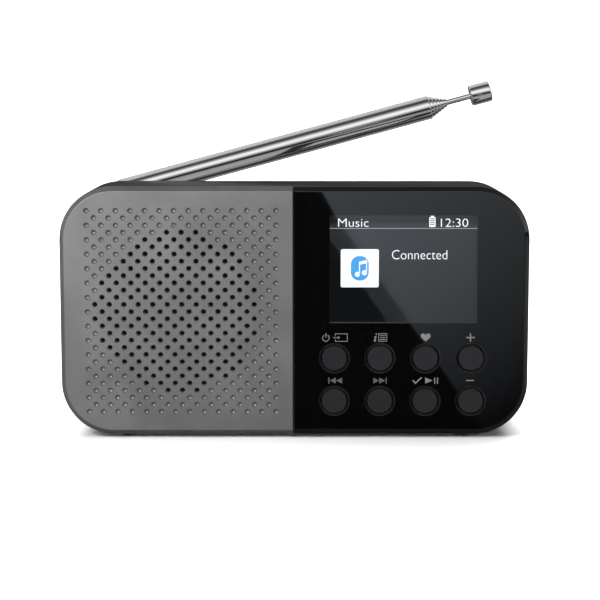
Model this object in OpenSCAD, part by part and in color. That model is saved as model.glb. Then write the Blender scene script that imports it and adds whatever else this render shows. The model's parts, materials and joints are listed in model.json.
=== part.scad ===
// Portable tabletop radio: two-part front, moulded case, full-range driver, colour display,
// eight keys, one rechargeable cell behind a screwed door and a seven-section telescopic aerial.
// Row frame: X to the right seen from the front, Y to the back, Z up, feet standing on Z = 0.

/* [Case] */
// Width of the case
body_w = 150; // [144:1:186]
// Height of the case, without the feet
body_h = 80; // [78:1:100]
// Depth of the case, front plates to back wall
body_d = 39; // [38:0.5:48]
// Corner radius seen from the front
corner_r = 17; // [10:0.5:20]
// Wall thickness of both case halves
wall = 2; // [1.6:0.1:2.6]
// Radius of the edge round the back
back_r = 3; // [1:0.5:4]
// Depth at which the two case halves meet
parting = 16; // [15:0.5:19]
// Height that the rubber feet lift the case
foot_h = 1; // [0.6:0.1:2]
// Diameter of a foot
foot_dia = 6; // [4:0.5:9]
// Distance of the feet from the middle
foot_x = 54; // [40:1:56]

/* [Front plates] */
// Thickness of the grille plate and the control plate
plate_t = 2; // [1.8:0.1:3]
// Bevel round the plates
plate_bevel = 1.5; // [0.5:0.1:1.7]
// Where the two plates meet, from the middle
split_x = -0.4; // [-2:0.1:2]
// Gap between the two plates
split_gap = 0.2; // [0.1:0.05:0.5]

/* [Grille] */
// Column pitch of the hole lattice
grille_pitch = 4.63; // [4.2:0.01:5.2]
// Diameter of a hole
grille_hole_dia = 1.6; // [1:0.1:2.4]
// Diameter of a blind dimple
grille_dimple_dia = 1.9; // [1:0.1:2.4]
// Depth of a blind dimple
grille_dimple_depth = 0.5; // [0.2:0.1:1]
// Middle of the lattice, from the middle of the case
grille_x = -36; // [-40:0.5:-34]
// Radius inside which the lattice is drilled through
grille_open_r = 26.4; // [20:0.1:27]

/* [Driver] */
// Middle of the driver, from the middle of the case
driver_x = -37.7; // [-39:0.1:-37]
// Diameter of the driver's flange
driver_dia = 61; // [58:0.5:62]
// Height of the driver, flange to yoke
driver_h = 19; // [18:0.5:24]
// Travel of the cone each way
cone_travel = 0.6; // [0.3:0.1:1]

/* [Display] */
// Width of the clear window
window_w = 47; // [44:0.5:52]
// Height of the clear window
window_h = 34.5; // [33:0.5:38]
// Middle of the display and of the keys, from the middle of the case
control_x = 34.7; // [33:0.1:36]
// Height of the display's middle above the case's underside
window_z = 53.6; // [52:0.1:55]
// Width of the display module
lcd_w = 57; // [55:0.5:58]
// Height of the display module
lcd_h = 42; // [40:0.5:42]
// Thickness of the display module
lcd_t = 3; // [2:0.1:3.5]

/* [Keys] */
// Diameter of a key cap
key_dia = 8; // [7:0.1:9]
// Gap round a key cap
key_gap = 0.45; // [0.2:0.05:0.5]
// Height that a key cap stands proud of the plate
key_proud = 0.5; // [0.2:0.1:1]
// Travel of a key
key_travel = 0.4; // [0.2:0.05:0.5]
// Column pitch of the keys
key_pitch_x = 14.6; // [13:0.1:15]
// Row pitch of the keys
key_pitch_z = 13.9; // [13:0.1:14.5]
// Height of the lower row above the case's underside
key_z = 11.1; // [10.5:0.1:12]

/* [Aerial] */
// Diameter of the outer aerial section
aerial_dia = 8; // [7:0.1:8.4]
// Step in diameter from one section to the next
aerial_step = 1; // [0.9:0.01:1.05]
// Distance from the pivot pin to the end of the outer section
aerial_reach = 112; // [100:1:114]
// Length of each section's end that shows when pushed in
aerial_show = 1.15; // [0.8:0.05:1.5]
// Bare length of the rod below the cap
aerial_rod_show = 8; // [4:0.5:10]
// Diameter of the end cap
aerial_cap_dia = 7; // [5:0.1:8]
// Length of the end cap
aerial_cap_len = 7.1; // [5:0.1:8]
// Angle of the aerial above level as it is left
aerial_lift = 15.2; // [0:0.1:60]
// Distance of the swivel from the left side of the case
aerial_inset = 12.2; // [11:0.1:16]
// Wall of an aerial tube
tube_wall = 0.35; // [0.25:0.01:0.38]

/* [Battery] */
// Diameter of the cell
cell_dia = 18.4; // [14:0.1:18.6]
// Length of the cell
cell_len = 65; // [50:0.5:66]
// Clearance round the cell in its well
cell_gap = 0.6; // [0.3:0.1:1]
// Height of the cell's axis above the case's underside
cell_z = 27; // [26:0.5:30]

/* [Board and ports] */
// Depth of the main board's front face
board_depth = 9; // [8.8:0.1:10]
// Thickness of the boards
board_t = 1.6; // [1:0.1:2]
// Depth of the recess round the sockets in the back
port_recess = 0.8; // [0.5:0.1:1]
// Bore of the headphone socket
jack_bore_dia = 3.6; // [3.5:0.05:3.8]
// Depth of the headphone socket
jack_depth = 14; // [12:0.5:15]
// Clearance between fixed pieces that slip together
fit_gap = 0.15; // [0.1:0.05:0.3]

/* [Hidden] */
$fn = 64;

eps = 0.01;
y_front = (key_proud - body_d) / 2;      // front face of the plates
y_back = y_front + body_d;
z_low = foot_h;                          // underside of the case
z_mid = z_low + body_h / 2;
z_top = z_low + body_h;
case_front = plate_t;                    // depths, measured back from the front face
case_wall_back = plate_t + wall;
back_inside = body_d - wall;
far = 400;

// ---- aerial ----
swivel_x = -body_w / 2 + aerial_inset;
channel_w = aerial_dia + 1;              // depth of the channel, front to back
channel_front = body_d - channel_w;      // depth of the channel's front wall
aerial_depth = body_d - channel_w / 2;   // depth of the aerial's axis
pivot_z = z_top - aerial_dia / 2 - 1;
channel_floor = pivot_z - aerial_dia / 2 - 0.5;
ear_r = aerial_dia / 2 - 0.4;
tongue_t = 3;
pin_r = 1;
plug_start = ear_r + 0.8;                // distances along the aerial, from the pin
plug_end = plug_start + 4.5;
section_count = 7;
collar_len = 6;
lip_len = 1;
slip = 0.05;
swivel_neck_r = 2.2;
swivel_collar_r = 3.4;

// ---- driver ----
collar_h = 3;                            // raised seat round the driver's opening
gasket_t = 0.8;
flange_t = 1.2;
flange_depth = case_wall_back + collar_h + gasket_t;
flange_back = flange_depth + flange_t;
yoke_back = flange_depth + driver_h;
yoke_t = 2;
magnet_t = 5.5;
top_plate_t = 2;
yoke_front = yoke_back - yoke_t;
magnet_front = yoke_front - magnet_t;
top_plate_front = magnet_front - top_plate_t;
coil_r = 6.5;
coil_wall = 0.3;
coil_tail = min(magnet_t / 2, magnet_t - cone_travel - 1.5); // coil behind the top plate
pole_r = coil_r - 0.3;
plate_hole_r = coil_r + coil_wall + 0.35;
cone_r = driver_dia / 2 - 7.5;
seat_r = driver_dia / 2 - 3;             // opening in the case behind the grille
open_r = min(grille_open_r, seat_r - grille_hole_dia / 2 - 0.2);
magnet_r = 16;
cone_rim = cone_r - 0.05;
cone_apex = top_plate_front - 3 - cone_travel; // depth at the coil
function cone_front(r) = flange_depth
    + (cone_apex - flange_depth) * (cone_rim - r) / (cone_rim - coil_r - coil_wall);
lug_r = driver_dia / 2 + 1.6;
lug_pad_r = 2.7;

// ---- keys ----
key_flange_r = key_dia / 2 + 1.2;
key_flange_t = 1;
key_flange_front = case_wall_back + fit_gap;
key_stem_end = key_flange_front + key_flange_t + 0.2;
switch_top = key_stem_end + key_travel + 0.05;
switch_w = 6;
switch_body_front = switch_top + 0.5;

// ---- boards ----
board_left = driver_x + driver_dia / 2 + 1;
board_right = 62.5;
board_low = z_low + 4;
board_top = z_top - 5;
board_back = board_depth + board_t;
board_posts = [[board_left + 4, z_low + 9], [board_left + 4, z_top - 9], [board_right + 3.5,
    z_low + 18], [board_right + 3.5, z_low + 46]];
port_z = z_low + 51;
port_board_size = [46, 14];
port_board_x = 38;
port_board_back = body_d - port_recess - jack_depth - 1.2;
port_posts = [port_board_x - 20, port_board_x + 20];
jack_x = 30;
jack_body = 8;
usb_x = 47;
usb_size = [9, 3.3];

// ---- battery ----
well_clear = cell_dia + 2 * cell_gap;
well_left = -4.5;
well_right = well_left + cell_len + 8;
well_wall = 1.5;
well_floor_depth = back_inside - well_clear + 0.4;
cell_depth = well_floor_depth + cell_gap + cell_dia / 2;
cell_left = well_left + 5.5;
cell_zc = z_low + cell_z;
door_screw_x = well_left - well_wall - 4;
cell_plug_z = cell_zc + well_clear / 2 + well_wall + 4.2;
driver_plug_z = cell_plug_z + 9;
tail_slots = [well_left - well_wall - 1, well_right - 1];  // where the contacts' tails leave the well
door_lap = 0.9;                          // overlap of the door on the well's rim
door_left = door_screw_x - 4.5;
door_right = well_right + door_lap;
door_h = well_clear + 2 * door_lap;

// ---- case screws ----
screw_low = min(z_low + 11, cell_zc - well_clear / 2 - well_wall - 4.3);
screw_spots = [for (sx = [-1, 1], sz = [screw_low, z_top - 22]) [sx * (body_w / 2 - 8), sz]];
screw_seat = parting + 4;
screw_head_r = 2.7;
screw_r = 1.15;
screw_pilot_r = 1.2;

// ================= helpers =================
// A flat shape drawn in X and Z, given thickness from one depth to another.
module slab(d0, d1) {
    translate([0, y_front + d1, 0]) rotate([90, 0, 0]) linear_extrude(d1 - d0) children();
}

// A round rod along Y between two depths.
module peg(x, z, r, d0, d1, r_back = undef) {
    translate([x, y_front + d1, z]) rotate([90, 0, 0])
        cylinder(h = d1 - d0, r1 = is_undef(r_back) ? r : r_back, r2 = r);
}

// A box from one corner, [x, z] size, between two depths.
module block(x, z, w, h, d0, d1) {
    translate([x, y_front + d0, z]) cube([w, d1 - d0, h]);
}

// A shape turned about an axis along Y; its profile is [radius, depth].
module turned(x, z) {
    translate([x, y_front, z]) rotate([-90, 0, 0]) rotate_extrude() children();
}

// The rounded outline of the case, drawn in X and Z.
module outline(inset = 0) {
    w = body_w - 2 * inset;
    h = body_h - 2 * inset;
    r = max(corner_r - inset, 1);
    translate([0, z_mid]) {
        square([w - 2 * r, h], center = true);
        square([w, h - 2 * r], center = true);
        for (sx = [-1, 1], sz = [-1, 1])
            translate([sx * (w / 2 - r), sz * (h / 2 - r)]) circle(r);
    }
}

// The case outline as a solid whose back edge is rounded.
module soft_backed(inset, d0, d1, edge) {
    w = body_w - 2 * inset;
    h = body_h - 2 * inset;
    r = max(corner_r - inset, edge + 1);
    depth = d1 - d0;
    for (sx = [-1, 1], sz = [-1, 1])
        translate([sx * (w / 2 - r), y_front + d0, z_mid + sz * (h / 2 - r)]) rotate([-90, 0, 0])
            rotate_extrude() soft_profile(r, depth, edge);
    translate([-w / 2 + r, y_front + d0, z_mid]) rotate([0, 90, 0]) rotate([0, 0, 90])
        linear_extrude(w - 2 * r) soft_section(h, depth, edge);
    translate([0, y_front + d0, z_mid - h / 2 + r])
        linear_extrude(h - 2 * r) soft_section_x(w, depth, edge);
}

module soft_profile(r, depth, edge) {
    square([r - edge, depth]);
    square([r, depth - edge]);
    intersection() {
        translate([r - edge, depth - edge]) circle(edge);
        square([r, depth]);
    }
}

module soft_section(h, depth, edge) {
    translate([0, -h / 2]) square([depth - edge, h]);
    translate([0, -h / 2 + edge]) square([depth, h - 2 * edge]);
    for (s = [-1, 1]) translate([depth - edge, s * (h / 2 - edge)]) circle(edge);
}

module soft_section_x(w, depth, edge) {
    translate([-w / 2, 0]) square([w, depth - edge]);
    translate([-w / 2 + edge, 0]) square([w - 2 * edge, depth]);
    for (s = [-1, 1]) translate([s * (w / 2 - edge), depth - edge]) circle(edge);
}

// A front plate over the whole case, bevelled round its edge.
module bevelled_plate() {
    w = body_w;
    h = body_h;
    r = corner_r;
    c = plate_bevel;
    slab(c, plate_t) outline();
    for (sx = [-1, 1], sz = [-1, 1])
        peg(sx * (w / 2 - r), z_mid + sz * (h / 2 - r), r - c, 0, c, r);
    translate([-w / 2 + r, y_front, z_mid]) rotate([0, 90, 0]) rotate([0, 0, 90])
        linear_extrude(w - 2 * r) polygon([[0, -h / 2 + c], [c, -h / 2], [c, h / 2], [0, h / 2 - c]]);
    translate([0, y_front, z_mid - h / 2 + r])
        linear_extrude(h - 2 * r) polygon([[-w / 2 + c, 0], [-w / 2, c], [w / 2, c], [w / 2 - c, 0]]);
}

function key_xz(i) = [control_x + (i % 4 - 1.5) * key_pitch_x,
    z_low + key_z + (i < 4 ? key_pitch_z : 0)];

// A tube swept along points; sides is the number of its flats.
function unit(v) = v / norm(v);
function path_dir(p, i) = unit(p[min(i + 1, len(p) - 1)] - p[max(i - 1, 0)]);
function path_side(p, i) = let (d = path_dir(p, i), up = abs(d[2]) < 0.9 ? [0, 0, 1] : [1, 0,
    0]) unit(cross(d, up));
module swept(p, r, sides = 8) {
    n = len(p);
    rings = [for (i = [0 : n - 1], k = [0 : sides - 1])
        let (d = path_dir(p, i), a = path_side(p, i), b = cross(d, a), t = 360 * k / sides)
            p[i] + r * (cos(t) * a + sin(t) * b)];
    walls = [for (i = [0 : n - 2], k = [0 : sides - 1])
        let (k2 = (k + 1) % sides) [i * sides + k, i * sides + k2, (i + 1) * sides + k2,
            (i + 1) * sides + k]];
    quads = [for (q = walls, h = [0, 1]) h == 0 ? [q[0], q[1], q[2]] : [q[0], q[2], q[3]]];
    ends = [[for (k = [sides - 1 : -1 : 0]) k], [for (k = [0 : sides - 1]) (n - 1) * sides + k]];
    polyhedron(points = rings, faces = concat(quads, ends));
}

// A smooth curve through points chosen by hand, with a few steps between each pair.
function curve_point(p, i, t) = let (a = p[max(i - 1, 0)], b = p[i], c = p[i + 1], d = p[min(i + 2,
    len(p) - 1)])
    0.5 * (2 * b + (c - a) * t + (2 * a - 5 * b + 4 * c - d) * t * t + (3 * b - a - 3 * c + d) * t * t * t);
function curve(p, steps) = concat([for (i = [0 : len(p) - 2], s = [0 : steps - 1]) curve_point(p, i,
    s / steps)],
    [p[len(p) - 1]]);

// A machine or self-tapping screw along Y, its head towards the back.
module screw(x, z, seat, shank, head_r = screw_head_r, head_h = 1.8, r = screw_r) {
    difference() {
        union() {
            peg(x, z, head_r, seat, seat + head_h);
            peg(x, z, r, seat - shank, seat);
        }
        for (a = [0, 90]) translate([x, y_front + seat + head_h, z]) rotate([0, a, 0])
            cube([head_r * 1.1, 2.2, 0.6], center = true);
    }
}

// ================= case =================
module front_case() {
    color("#141416") difference() {
        union() {
            difference() {
                slab(case_front, parting) outline();
                slab(case_wall_back, parting + 1) outline(wall);
            }
            // locating lip inside the joint
            difference() {
                slab(parting - 2, parting) outline(wall - eps);
                slab(parting - 3, parting + 1) outline(wall + fit_gap + 1);
            }
            difference() {
                slab(parting - eps, parting + 1.5) outline(wall + fit_gap);
                slab(parting - 1, parting + 2) outline(wall + fit_gap + 1);
                for (p = screw_spots) peg(p[0], p[1], 4.3, parting, parting + 2);
            }
            turned(driver_x, z_mid) translate([seat_r, case_wall_back - eps]) square([3, collar_h + eps]);
            for (a = [45 : 90 : 315])
                peg(driver_x + lug_r * cos(a), z_mid + lug_r * sin(a), lug_pad_r, case_wall_back - eps,
                    flange_depth);
            for (p = screw_spots) peg(p[0], p[1], 3.4, case_wall_back - eps, parting);
            for (p = board_posts) peg(p[0], p[1], 2.3, case_wall_back - eps, board_depth);
        }
        peg(driver_x, z_mid, seat_r, case_front - 1, case_wall_back + 1);
        block(control_x - lcd_w / 2 - fit_gap, window_zc - lcd_h / 2 - fit_gap, lcd_w + 2 * fit_gap,
            lcd_h + 2 * fit_gap,
            case_front - 1, case_wall_back + 1);
        for (i = [0 : 7]) peg(key_xz(i)[0], key_xz(i)[1], key_dia / 2 + key_gap, case_front - 1,
            case_wall_back + 1);
        for (a = [45 : 90 : 315])
            peg(driver_x + lug_r * cos(a), z_mid + lug_r * sin(a), 0.95, case_wall_back - 0.8,
                flange_depth + 1);
        for (p = screw_spots) peg(p[0], p[1], screw_pilot_r, case_wall_back + 2, parting + 1);
        for (p = board_posts) peg(p[0], p[1], 0.95, case_wall_back, board_depth + 1);
        foot_pockets();
    }
}

window_zc = z_low + window_z;

module foot_pockets() {
    for (p = foot_spots) translate([p[0], p[1], z_low - 1]) cylinder(r = foot_dia / 2 + fit_gap, h = 1.8);
}
foot_spots = [for (sx = [-1, 1], d = [7, body_d - 7]) [sx * foot_x, y_front + d]];

module rear_cover() {
    color("#141416") difference() {
        union() {
            difference() {
                soft_backed(0, parting, body_d, back_r);
                slab(parting - 1, channel_front - wall) outline(wall);
                intersection() {
                    slab(parting - 1, back_inside) outline(wall);
                    translate([-far / 2, -far / 2, -far + channel_floor - wall]) cube(far);
                }
                // the channel that the aerial folds into, right across the top of the back
                block(-body_w / 2 - 1, channel_floor, body_w + 2, body_h, channel_front, body_d + 1);
            }
            for (p = screw_spots) peg(p[0], p[1], 4, parting, back_inside + eps);
            // battery well
            block(well_left - well_wall, cell_zc - well_clear / 2 - well_wall,
                well_right - well_left + 2 * well_wall,
                well_clear + 2 * well_wall, well_floor_depth - well_wall, back_inside + eps);
            peg(door_screw_x, cell_zc, 3, back_inside - 10, back_inside + eps);
            block(door_left - 1, cell_zc - door_h / 2 - 1, well_left - door_left + 1, door_h + 2,
                back_inside - 1.5, back_inside + eps);
            for (x = port_posts) peg(x, port_z, 2.3, port_board_back, back_inside + eps);
            // boss that carries the aerial's swivel
            translate([swivel_x, y_front + aerial_depth, channel_floor - wall - 1.5]) cylinder(r = 4,
                h = wall + 1);
        }
        for (p = screw_spots) {
            peg(p[0], p[1], screw_head_r + 0.3, screw_seat, body_d + 1);
            peg(p[0], p[1], screw_r + 0.35, parting - 1, screw_seat + 1);
        }
        block(well_left, cell_zc - well_clear / 2, well_right - well_left, well_clear, well_floor_depth,
            back_inside + 1);
        block(door_left, cell_zc - door_h / 2, door_right - door_left, door_h, back_inside, body_d + 1);
        peg(door_screw_x, cell_zc, 1, back_inside - 8, back_inside + 1);
        // recessed socket field
        block(jack_x - 9, port_z - 7, usb_x - jack_x + 20, 14, body_d - port_recess, body_d + 1);
        peg(jack_x, port_z, 3.1, back_inside - 1, body_d);
        slab(back_inside - 1, body_d) usb_outline(0.2);
        for (x = port_posts) peg(x, port_z, 0.95, port_board_back - 1, back_inside - 1);
        translate([swivel_x, y_front + aerial_depth, channel_floor - wall - 3])
            cylinder(r = swivel_neck_r + slip, h = wall + 4);
        translate([swivel_x, y_front + aerial_depth, channel_floor - wall - 4.5])
            cylinder(r = swivel_collar_r + 0.3, h = 3);
        for (s = tail_slots) block(s, cell_zc + 4.9, well_wall + 2, 2.2, cell_depth - 0.3,
            cell_depth + 0.3);
        foot_pockets();
    }
}

module usb_outline(grow) {
    w = usb_size[0];
    r = usb_size[1] / 2 + grow;
    translate([usb_x, port_z]) {
        square([w - usb_size[1], 2 * r], center = true);
        for (s = [-1, 1]) translate([s * (w - usb_size[1]) / 2, 0]) circle(r);
    }
}

// ================= front plates =================
// Lattice points: whole columns on even rows, half columns on odd rows.
grille_rows = 14;
grille_spots = [for (row = [-grille_rows : grille_rows])
    for (col = [0 : row % 2 == 0 ? 13 : 12])
        [grille_x + (col - 6.5 + (row % 2 == 0 ? 0 : 0.5)) * grille_pitch, z_mid + row * grille_pitch / 2]];
function is_open(p) = norm([p[0] - driver_x, p[1] - z_mid]) <= open_r;

module grille_panel() {
    color("#77787a") difference() {
        intersection() {
            bevelled_plate();
            translate([split_x - split_gap / 2 - far, -far / 2, -far / 2]) cube(far);
        }
        for (p = grille_spots)
            if (is_open(p)) peg(p[0], p[1], grille_hole_dia / 2, -1, plate_t + 1);
            else peg(p[0], p[1], grille_dimple_dia / 2, -1, grille_dimple_depth);
    }
}

module control_panel() {
    color("#0a0a0b") difference() {
        intersection() {
            bevelled_plate();
            translate([split_x + split_gap / 2, -far / 2, -far / 2]) cube(far);
        }
        block(control_x - window_w / 2, window_zc - window_h / 2, window_w, window_h, -1, plate_t + 1);
        for (i = [0 : 7]) {
            p = key_xz(i);
            peg(p[0], p[1], key_dia / 2 + key_gap, -1, plate_t + 1);
            peg(p[0], p[1], key_dia / 2 + key_gap + 0.5 + eps, -eps, 0.5, key_dia / 2 + key_gap);
        }
    }
}

module display_window() {
    color("#1a1c20", 0.6)
        block(control_x - window_w / 2, window_zc - window_h / 2, window_w, window_h, 0, plate_t);
}

module grille_cloth() {
    color("#0c0c0c") peg(driver_x, z_mid, seat_r - 0.3, case_front, case_front + 0.4);
}

// ================= back =================
module battery_door() {
    g = fit_gap;
    color("#141416") difference() {
        union() {
            block(door_left + g, cell_zc - door_h / 2 + g, door_right - door_left - 2 * g,
                door_h - 2 * g, back_inside, body_d);
            // ribs that locate the door inside the well
            for (s = [-1, 1]) block(well_left + 6, cell_zc + s * (well_clear / 2 - 0.9) - 0.6,
                well_right - well_left - 12, 1.2,
                back_inside - 1.5, back_inside + eps);
        }
        peg(door_screw_x, cell_zc, screw_head_r + 0.25, body_d - 1.2, body_d + 1);
        peg(door_screw_x, cell_zc, screw_r + 0.25, back_inside - 1, body_d);
        // thumb grooves
        for (k = [0 : 4]) block(door_right - 12 + 2 * k, cell_zc - 6, 0.9, 12, body_d - 0.5, body_d + 1);
    }
}

module door_screw() {
    color("#8a8c90") screw(door_screw_x, cell_zc, body_d - 1.2, 6, screw_head_r, 1.1, 0.95);
}

module feet() {
    color("#1c1c1c") for (p = foot_spots) translate([p[0], p[1], 0]) {
        cylinder(r1 = foot_dia / 2 - 0.3, r2 = foot_dia / 2, h = 0.3);
        translate([0, 0, 0.3]) cylinder(r = foot_dia / 2, h = z_low + 0.5);
    }
}

module case_screws() {
    color("#8a8c90") for (p = screw_spots) screw(p[0], p[1], screw_seat, 12);
}

// ================= driver =================
module driver_gasket() {
    color("#101010") turned(driver_x, z_mid)
        translate([seat_r, case_wall_back + collar_h]) square([lug_r - lug_pad_r - 0.2 - seat_r, gasket_t]);
}

module driver_basket() {
    neck = 13;
    color("#3a3c40") difference() {
        union() {
            turned(driver_x, z_mid) polygon([
                [seat_r - 1.2, flange_depth], [driver_dia / 2, flange_depth], [driver_dia / 2, flange_back],
                [seat_r - 0.2, flange_back], [neck + 1, top_plate_front], [coil_r + 2, top_plate_front],
                [coil_r + 2, top_plate_front - 1], [neck + 0.4, top_plate_front - 1]]);
            for (a = [45 : 90 : 315])
                peg(driver_x + lug_r * cos(a), z_mid + lug_r * sin(a), lug_pad_r, flange_depth,
                    flange_back);
        }
        for (a = [45 : 90 : 315])
            peg(driver_x + lug_r * cos(a), z_mid + lug_r * sin(a), 1.3, flange_depth - 1, flange_back + 1);
        // windows between the four arms
        for (a = [0 : 90 : 270]) translate([driver_x, 0, z_mid]) rotate([0, a, 0])
            translate([neck + 1.5, y_front + flange_back + 1, -8]) cube([seat_r - neck,
                top_plate_front - flange_back - 2.6, 16]);
    }
}

surround_out = seat_r - 0.3;
module driver_surround() {
    mid = (cone_r + surround_out) / 2;
    roll = (surround_out - cone_r) / 2 - 0.6;
    color("#151515") turned(driver_x, z_mid) difference() {
        union() {
            translate([mid, flange_depth]) circle(roll);
            translate([cone_r, flange_depth - 0.4]) square([surround_out - cone_r, 0.4]);
            translate([cone_r, flange_depth - 0.4]) square([0.8, 1]);
        }
        translate([mid, flange_depth]) circle(roll - 0.5);
        translate([mid - roll, flange_depth]) square([2 * roll + 0.1, roll + 1]);
    }
}

module driver_cone() {
    color("#202022") turned(driver_x, z_mid) polygon([
        [cone_rim, flange_depth], [cone_rim, flange_depth + 0.6],
        [coil_r + coil_wall + 0.3, cone_apex + 0.6], [coil_r + coil_wall, cone_apex + 0.6],
        [coil_r + coil_wall, cone_apex]]);
}

module driver_dust_cap() {
    cap_r = coil_r + 1.6;
    ball = 11;
    back = cone_front(cap_r) - 0.02;
    color("#262628") translate([driver_x, y_front + back, z_mid]) rotate([90, 0, 0]) difference() {
        translate([0, 0, -sqrt(ball * ball - cap_r * cap_r)]) sphere(ball);
        translate([0, 0, -sqrt(ball * ball - cap_r * cap_r)]) sphere(ball - 0.4);
        translate([0, 0, -far / 2]) cube(far, center = true);
    }
}

module driver_voice_coil() {
    color("#b87333") turned(driver_x, z_mid)
        translate([coil_r, top_plate_front - 3]) square([coil_wall, top_plate_t + coil_tail + 3]);
}

module driver_spider() {
    n = 3;
    in_r = coil_r + coil_wall + 0.1;
    pitch = (12.5 - in_r) / (2 * n);
    d = top_plate_front - 1.4;
    top = [for (k = [0 : 2 * n]) [in_r + k * pitch, d - (k % 2 == 0 ? 0 : 0.5)]];
    low = [for (k = [2 * n : -1 : 0]) [in_r + k * pitch, d + 0.4 - (k % 2 == 0 ? 0 : 0.5)]];
    color("#c7a24b") turned(driver_x, z_mid) polygon(concat(top, low));
}

module driver_top_plate() {
    color("#9a9da2") turned(driver_x, z_mid)
        translate([plate_hole_r, top_plate_front]) square([15 - plate_hole_r, top_plate_t]);
}

module driver_magnet() {
    color("#2b2b2e") turned(driver_x, z_mid)
        translate([plate_hole_r + 1.5, magnet_front]) square([magnet_r - plate_hole_r - 1.5, magnet_t]);
}

module driver_yoke() {
    color("#9a9da2") turned(driver_x, z_mid) {
        translate([0, yoke_front]) square([15, yoke_t]);
        translate([0, top_plate_front]) square([pole_r, yoke_front - top_plate_front + eps]);
    }
}

module driver_terminals() {
    color("#b59a5a") {
        block(driver_x + magnet_r + 0.05, z_mid - 4, 1.2, 8, magnet_front + 0.5, magnet_front + 4.5);
        for (s = [-1, 1]) block(driver_x + magnet_r + 1.2, z_mid + s * 2.3 - 0.7, 2.7, 1.4,
            magnet_front + 2.2, magnet_front + 2.7);
    }
}

module driver_screws() {
    color("#8a8c90") for (a = [45 : 90 : 315])
        screw(driver_x + lug_r * cos(a), z_mid + lug_r * sin(a), flange_back, 4.5, 2.1, 1.3, 0.9);
}

// ================= display =================
lcd_front = plate_t + 0.3;
module display_glass() {
    color("#20242c") block(control_x - lcd_w / 2, window_zc - lcd_h / 2, lcd_w, lcd_h, lcd_front,
        lcd_front + lcd_t);
}

module display_tray() {
    color("#e8e8e4") difference() {
        block(control_x - lcd_w / 2, window_zc - lcd_h / 2, lcd_w, lcd_h, lcd_front + lcd_t, board_depth);
        block(control_x - lcd_w / 2 + 2.5, window_zc - lcd_h / 2 + 2.5, lcd_w - 5, lcd_h - 5,
            lcd_front + lcd_t + 1, board_depth + 1);
        block(control_x - 9, window_zc - lcd_h / 2 - 1, 18, 5, lcd_front + lcd_t + 1, board_depth + 1);
    }
}

module display_ribbon() {
    low = window_zc - lcd_h / 2;
    color("#b8742a") {
        block(control_x - 7, low + 0.5, 14, 14, board_depth - 0.9, board_depth - 0.6);
        block(control_x - 8, low + 10, 16, 4, board_depth - 0.6, board_depth);
    }
}

// ================= boards =================
module main_board() {
    color("#1f5a34") difference() {
        union() {
            block(board_left, board_low, board_right - board_left, board_top - board_low, board_depth,
                board_back);
            for (p = [board_posts[2], board_posts[3]])
                block(board_right - 1, p[1] - 3, p[0] + 3 - board_right + 1, 6, board_depth, board_back);
        }
        for (p = board_posts) peg(p[0], p[1], 1.3, board_depth - 1, board_back + 1);
    }
}

module board_screws() {
    color("#8a8c90") for (p = board_posts) screw(p[0], p[1], board_back, 5.5, 2.1, 1.3, 0.9);
}

module tact_switches() {
    color("#303034") for (i = [0 : 7]) {
        p = key_xz(i);
        block(p[0] - switch_w / 2, p[1] - switch_w / 2, switch_w, switch_w, switch_body_front, board_depth);
        peg(p[0], p[1], 1.7, switch_top, switch_body_front + eps);
    }
}

module tuner_module() {
    color("#b9bcc0") difference() {
        block(4, z_low + 52, 24, 18, board_back, board_back + 2.8);
        for (x = [8, 16, 24], z = [57, 65]) peg(x, z_low + z, 0.8, board_back + 2, board_back + 3);
    }
}

module board_chips() {
    color("#18181a") {
        block(34, z_low + 46, 12, 12, board_back, board_back + 1.2);
        block(51, z_low + 48, 6, 8, board_back, board_back + 1.1);
        block(8, z_low + 8, 7, 6, board_back, board_back + 1.1);
        block(24, z_low + 8, 5, 6, board_back, board_back + 1.1);
    }
}

module board_capacitors() {
    color("#30405e") for (p = [[34, 64], [41, 64], [48, 64], [55, 64]])
        peg(p[0], z_low + p[1], 2.6, board_back, board_back + 6);
}

module board_connectors() {
    color("#e8e4d8") {
        block(plug_x, driver_plug_z - 4, 5, 8, board_back, board_back + 4);
        block(plug_x, cell_plug_z - 3, 3.5, 6, board_back, board_back + 2.6);
    }
}

module port_board() {
    color("#1f5a34") difference() {
        block(port_board_x - port_board_size[0] / 2, port_z - port_board_size[1] / 2,
            port_board_size[0], port_board_size[1],
            port_board_back - board_t, port_board_back);
        for (x = port_posts) peg(x, port_z, 1.3, port_board_back - board_t - 1, port_board_back + 1);
    }
}

module port_screws() {
    seat = port_board_back - board_t;
    // heads in front of the port board, shanks back into the rear cover's posts
    color("#8a8c90") for (x = port_posts) translate([x, y_front + seat, port_z]) rotate([0, 0, 180])
        translate([-x, -y_front - seat, -port_z]) screw(x, port_z, seat, 5.5, 2.1, 1.3, 0.9);
}

module headphone_socket() {
    color("#101012") difference() {
        union() {
            block(jack_x - jack_body / 2, port_z - jack_body / 2, jack_body, jack_body, port_board_back,
                back_inside);
            peg(jack_x, port_z, 3, back_inside - eps, body_d - port_recess);
        }
        peg(jack_x, port_z, jack_bore_dia / 2, body_d - port_recess - jack_depth, body_d);
    }
}

module usb_socket() {
    color("#b9bcc0") difference() {
        slab(port_board_back, body_d - port_recess) usb_outline(0);
        slab(body_d - port_recess - 6, body_d) usb_outline(-0.35);
    }
    color("#101012") block(usb_x - 3, port_z - 0.35, 6, 0.7, body_d - port_recess - 6 - eps,
        body_d - port_recess - 1);
}

// ================= battery =================
module battery_cell() {
    color("#2f6f8f") translate([cell_left, y_front + cell_depth, cell_zc]) rotate([0, 90, 0]) {
        cylinder(r = cell_dia / 2, h = cell_len - 1);
        cylinder(r = 3, h = cell_len);
    }
}

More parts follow.
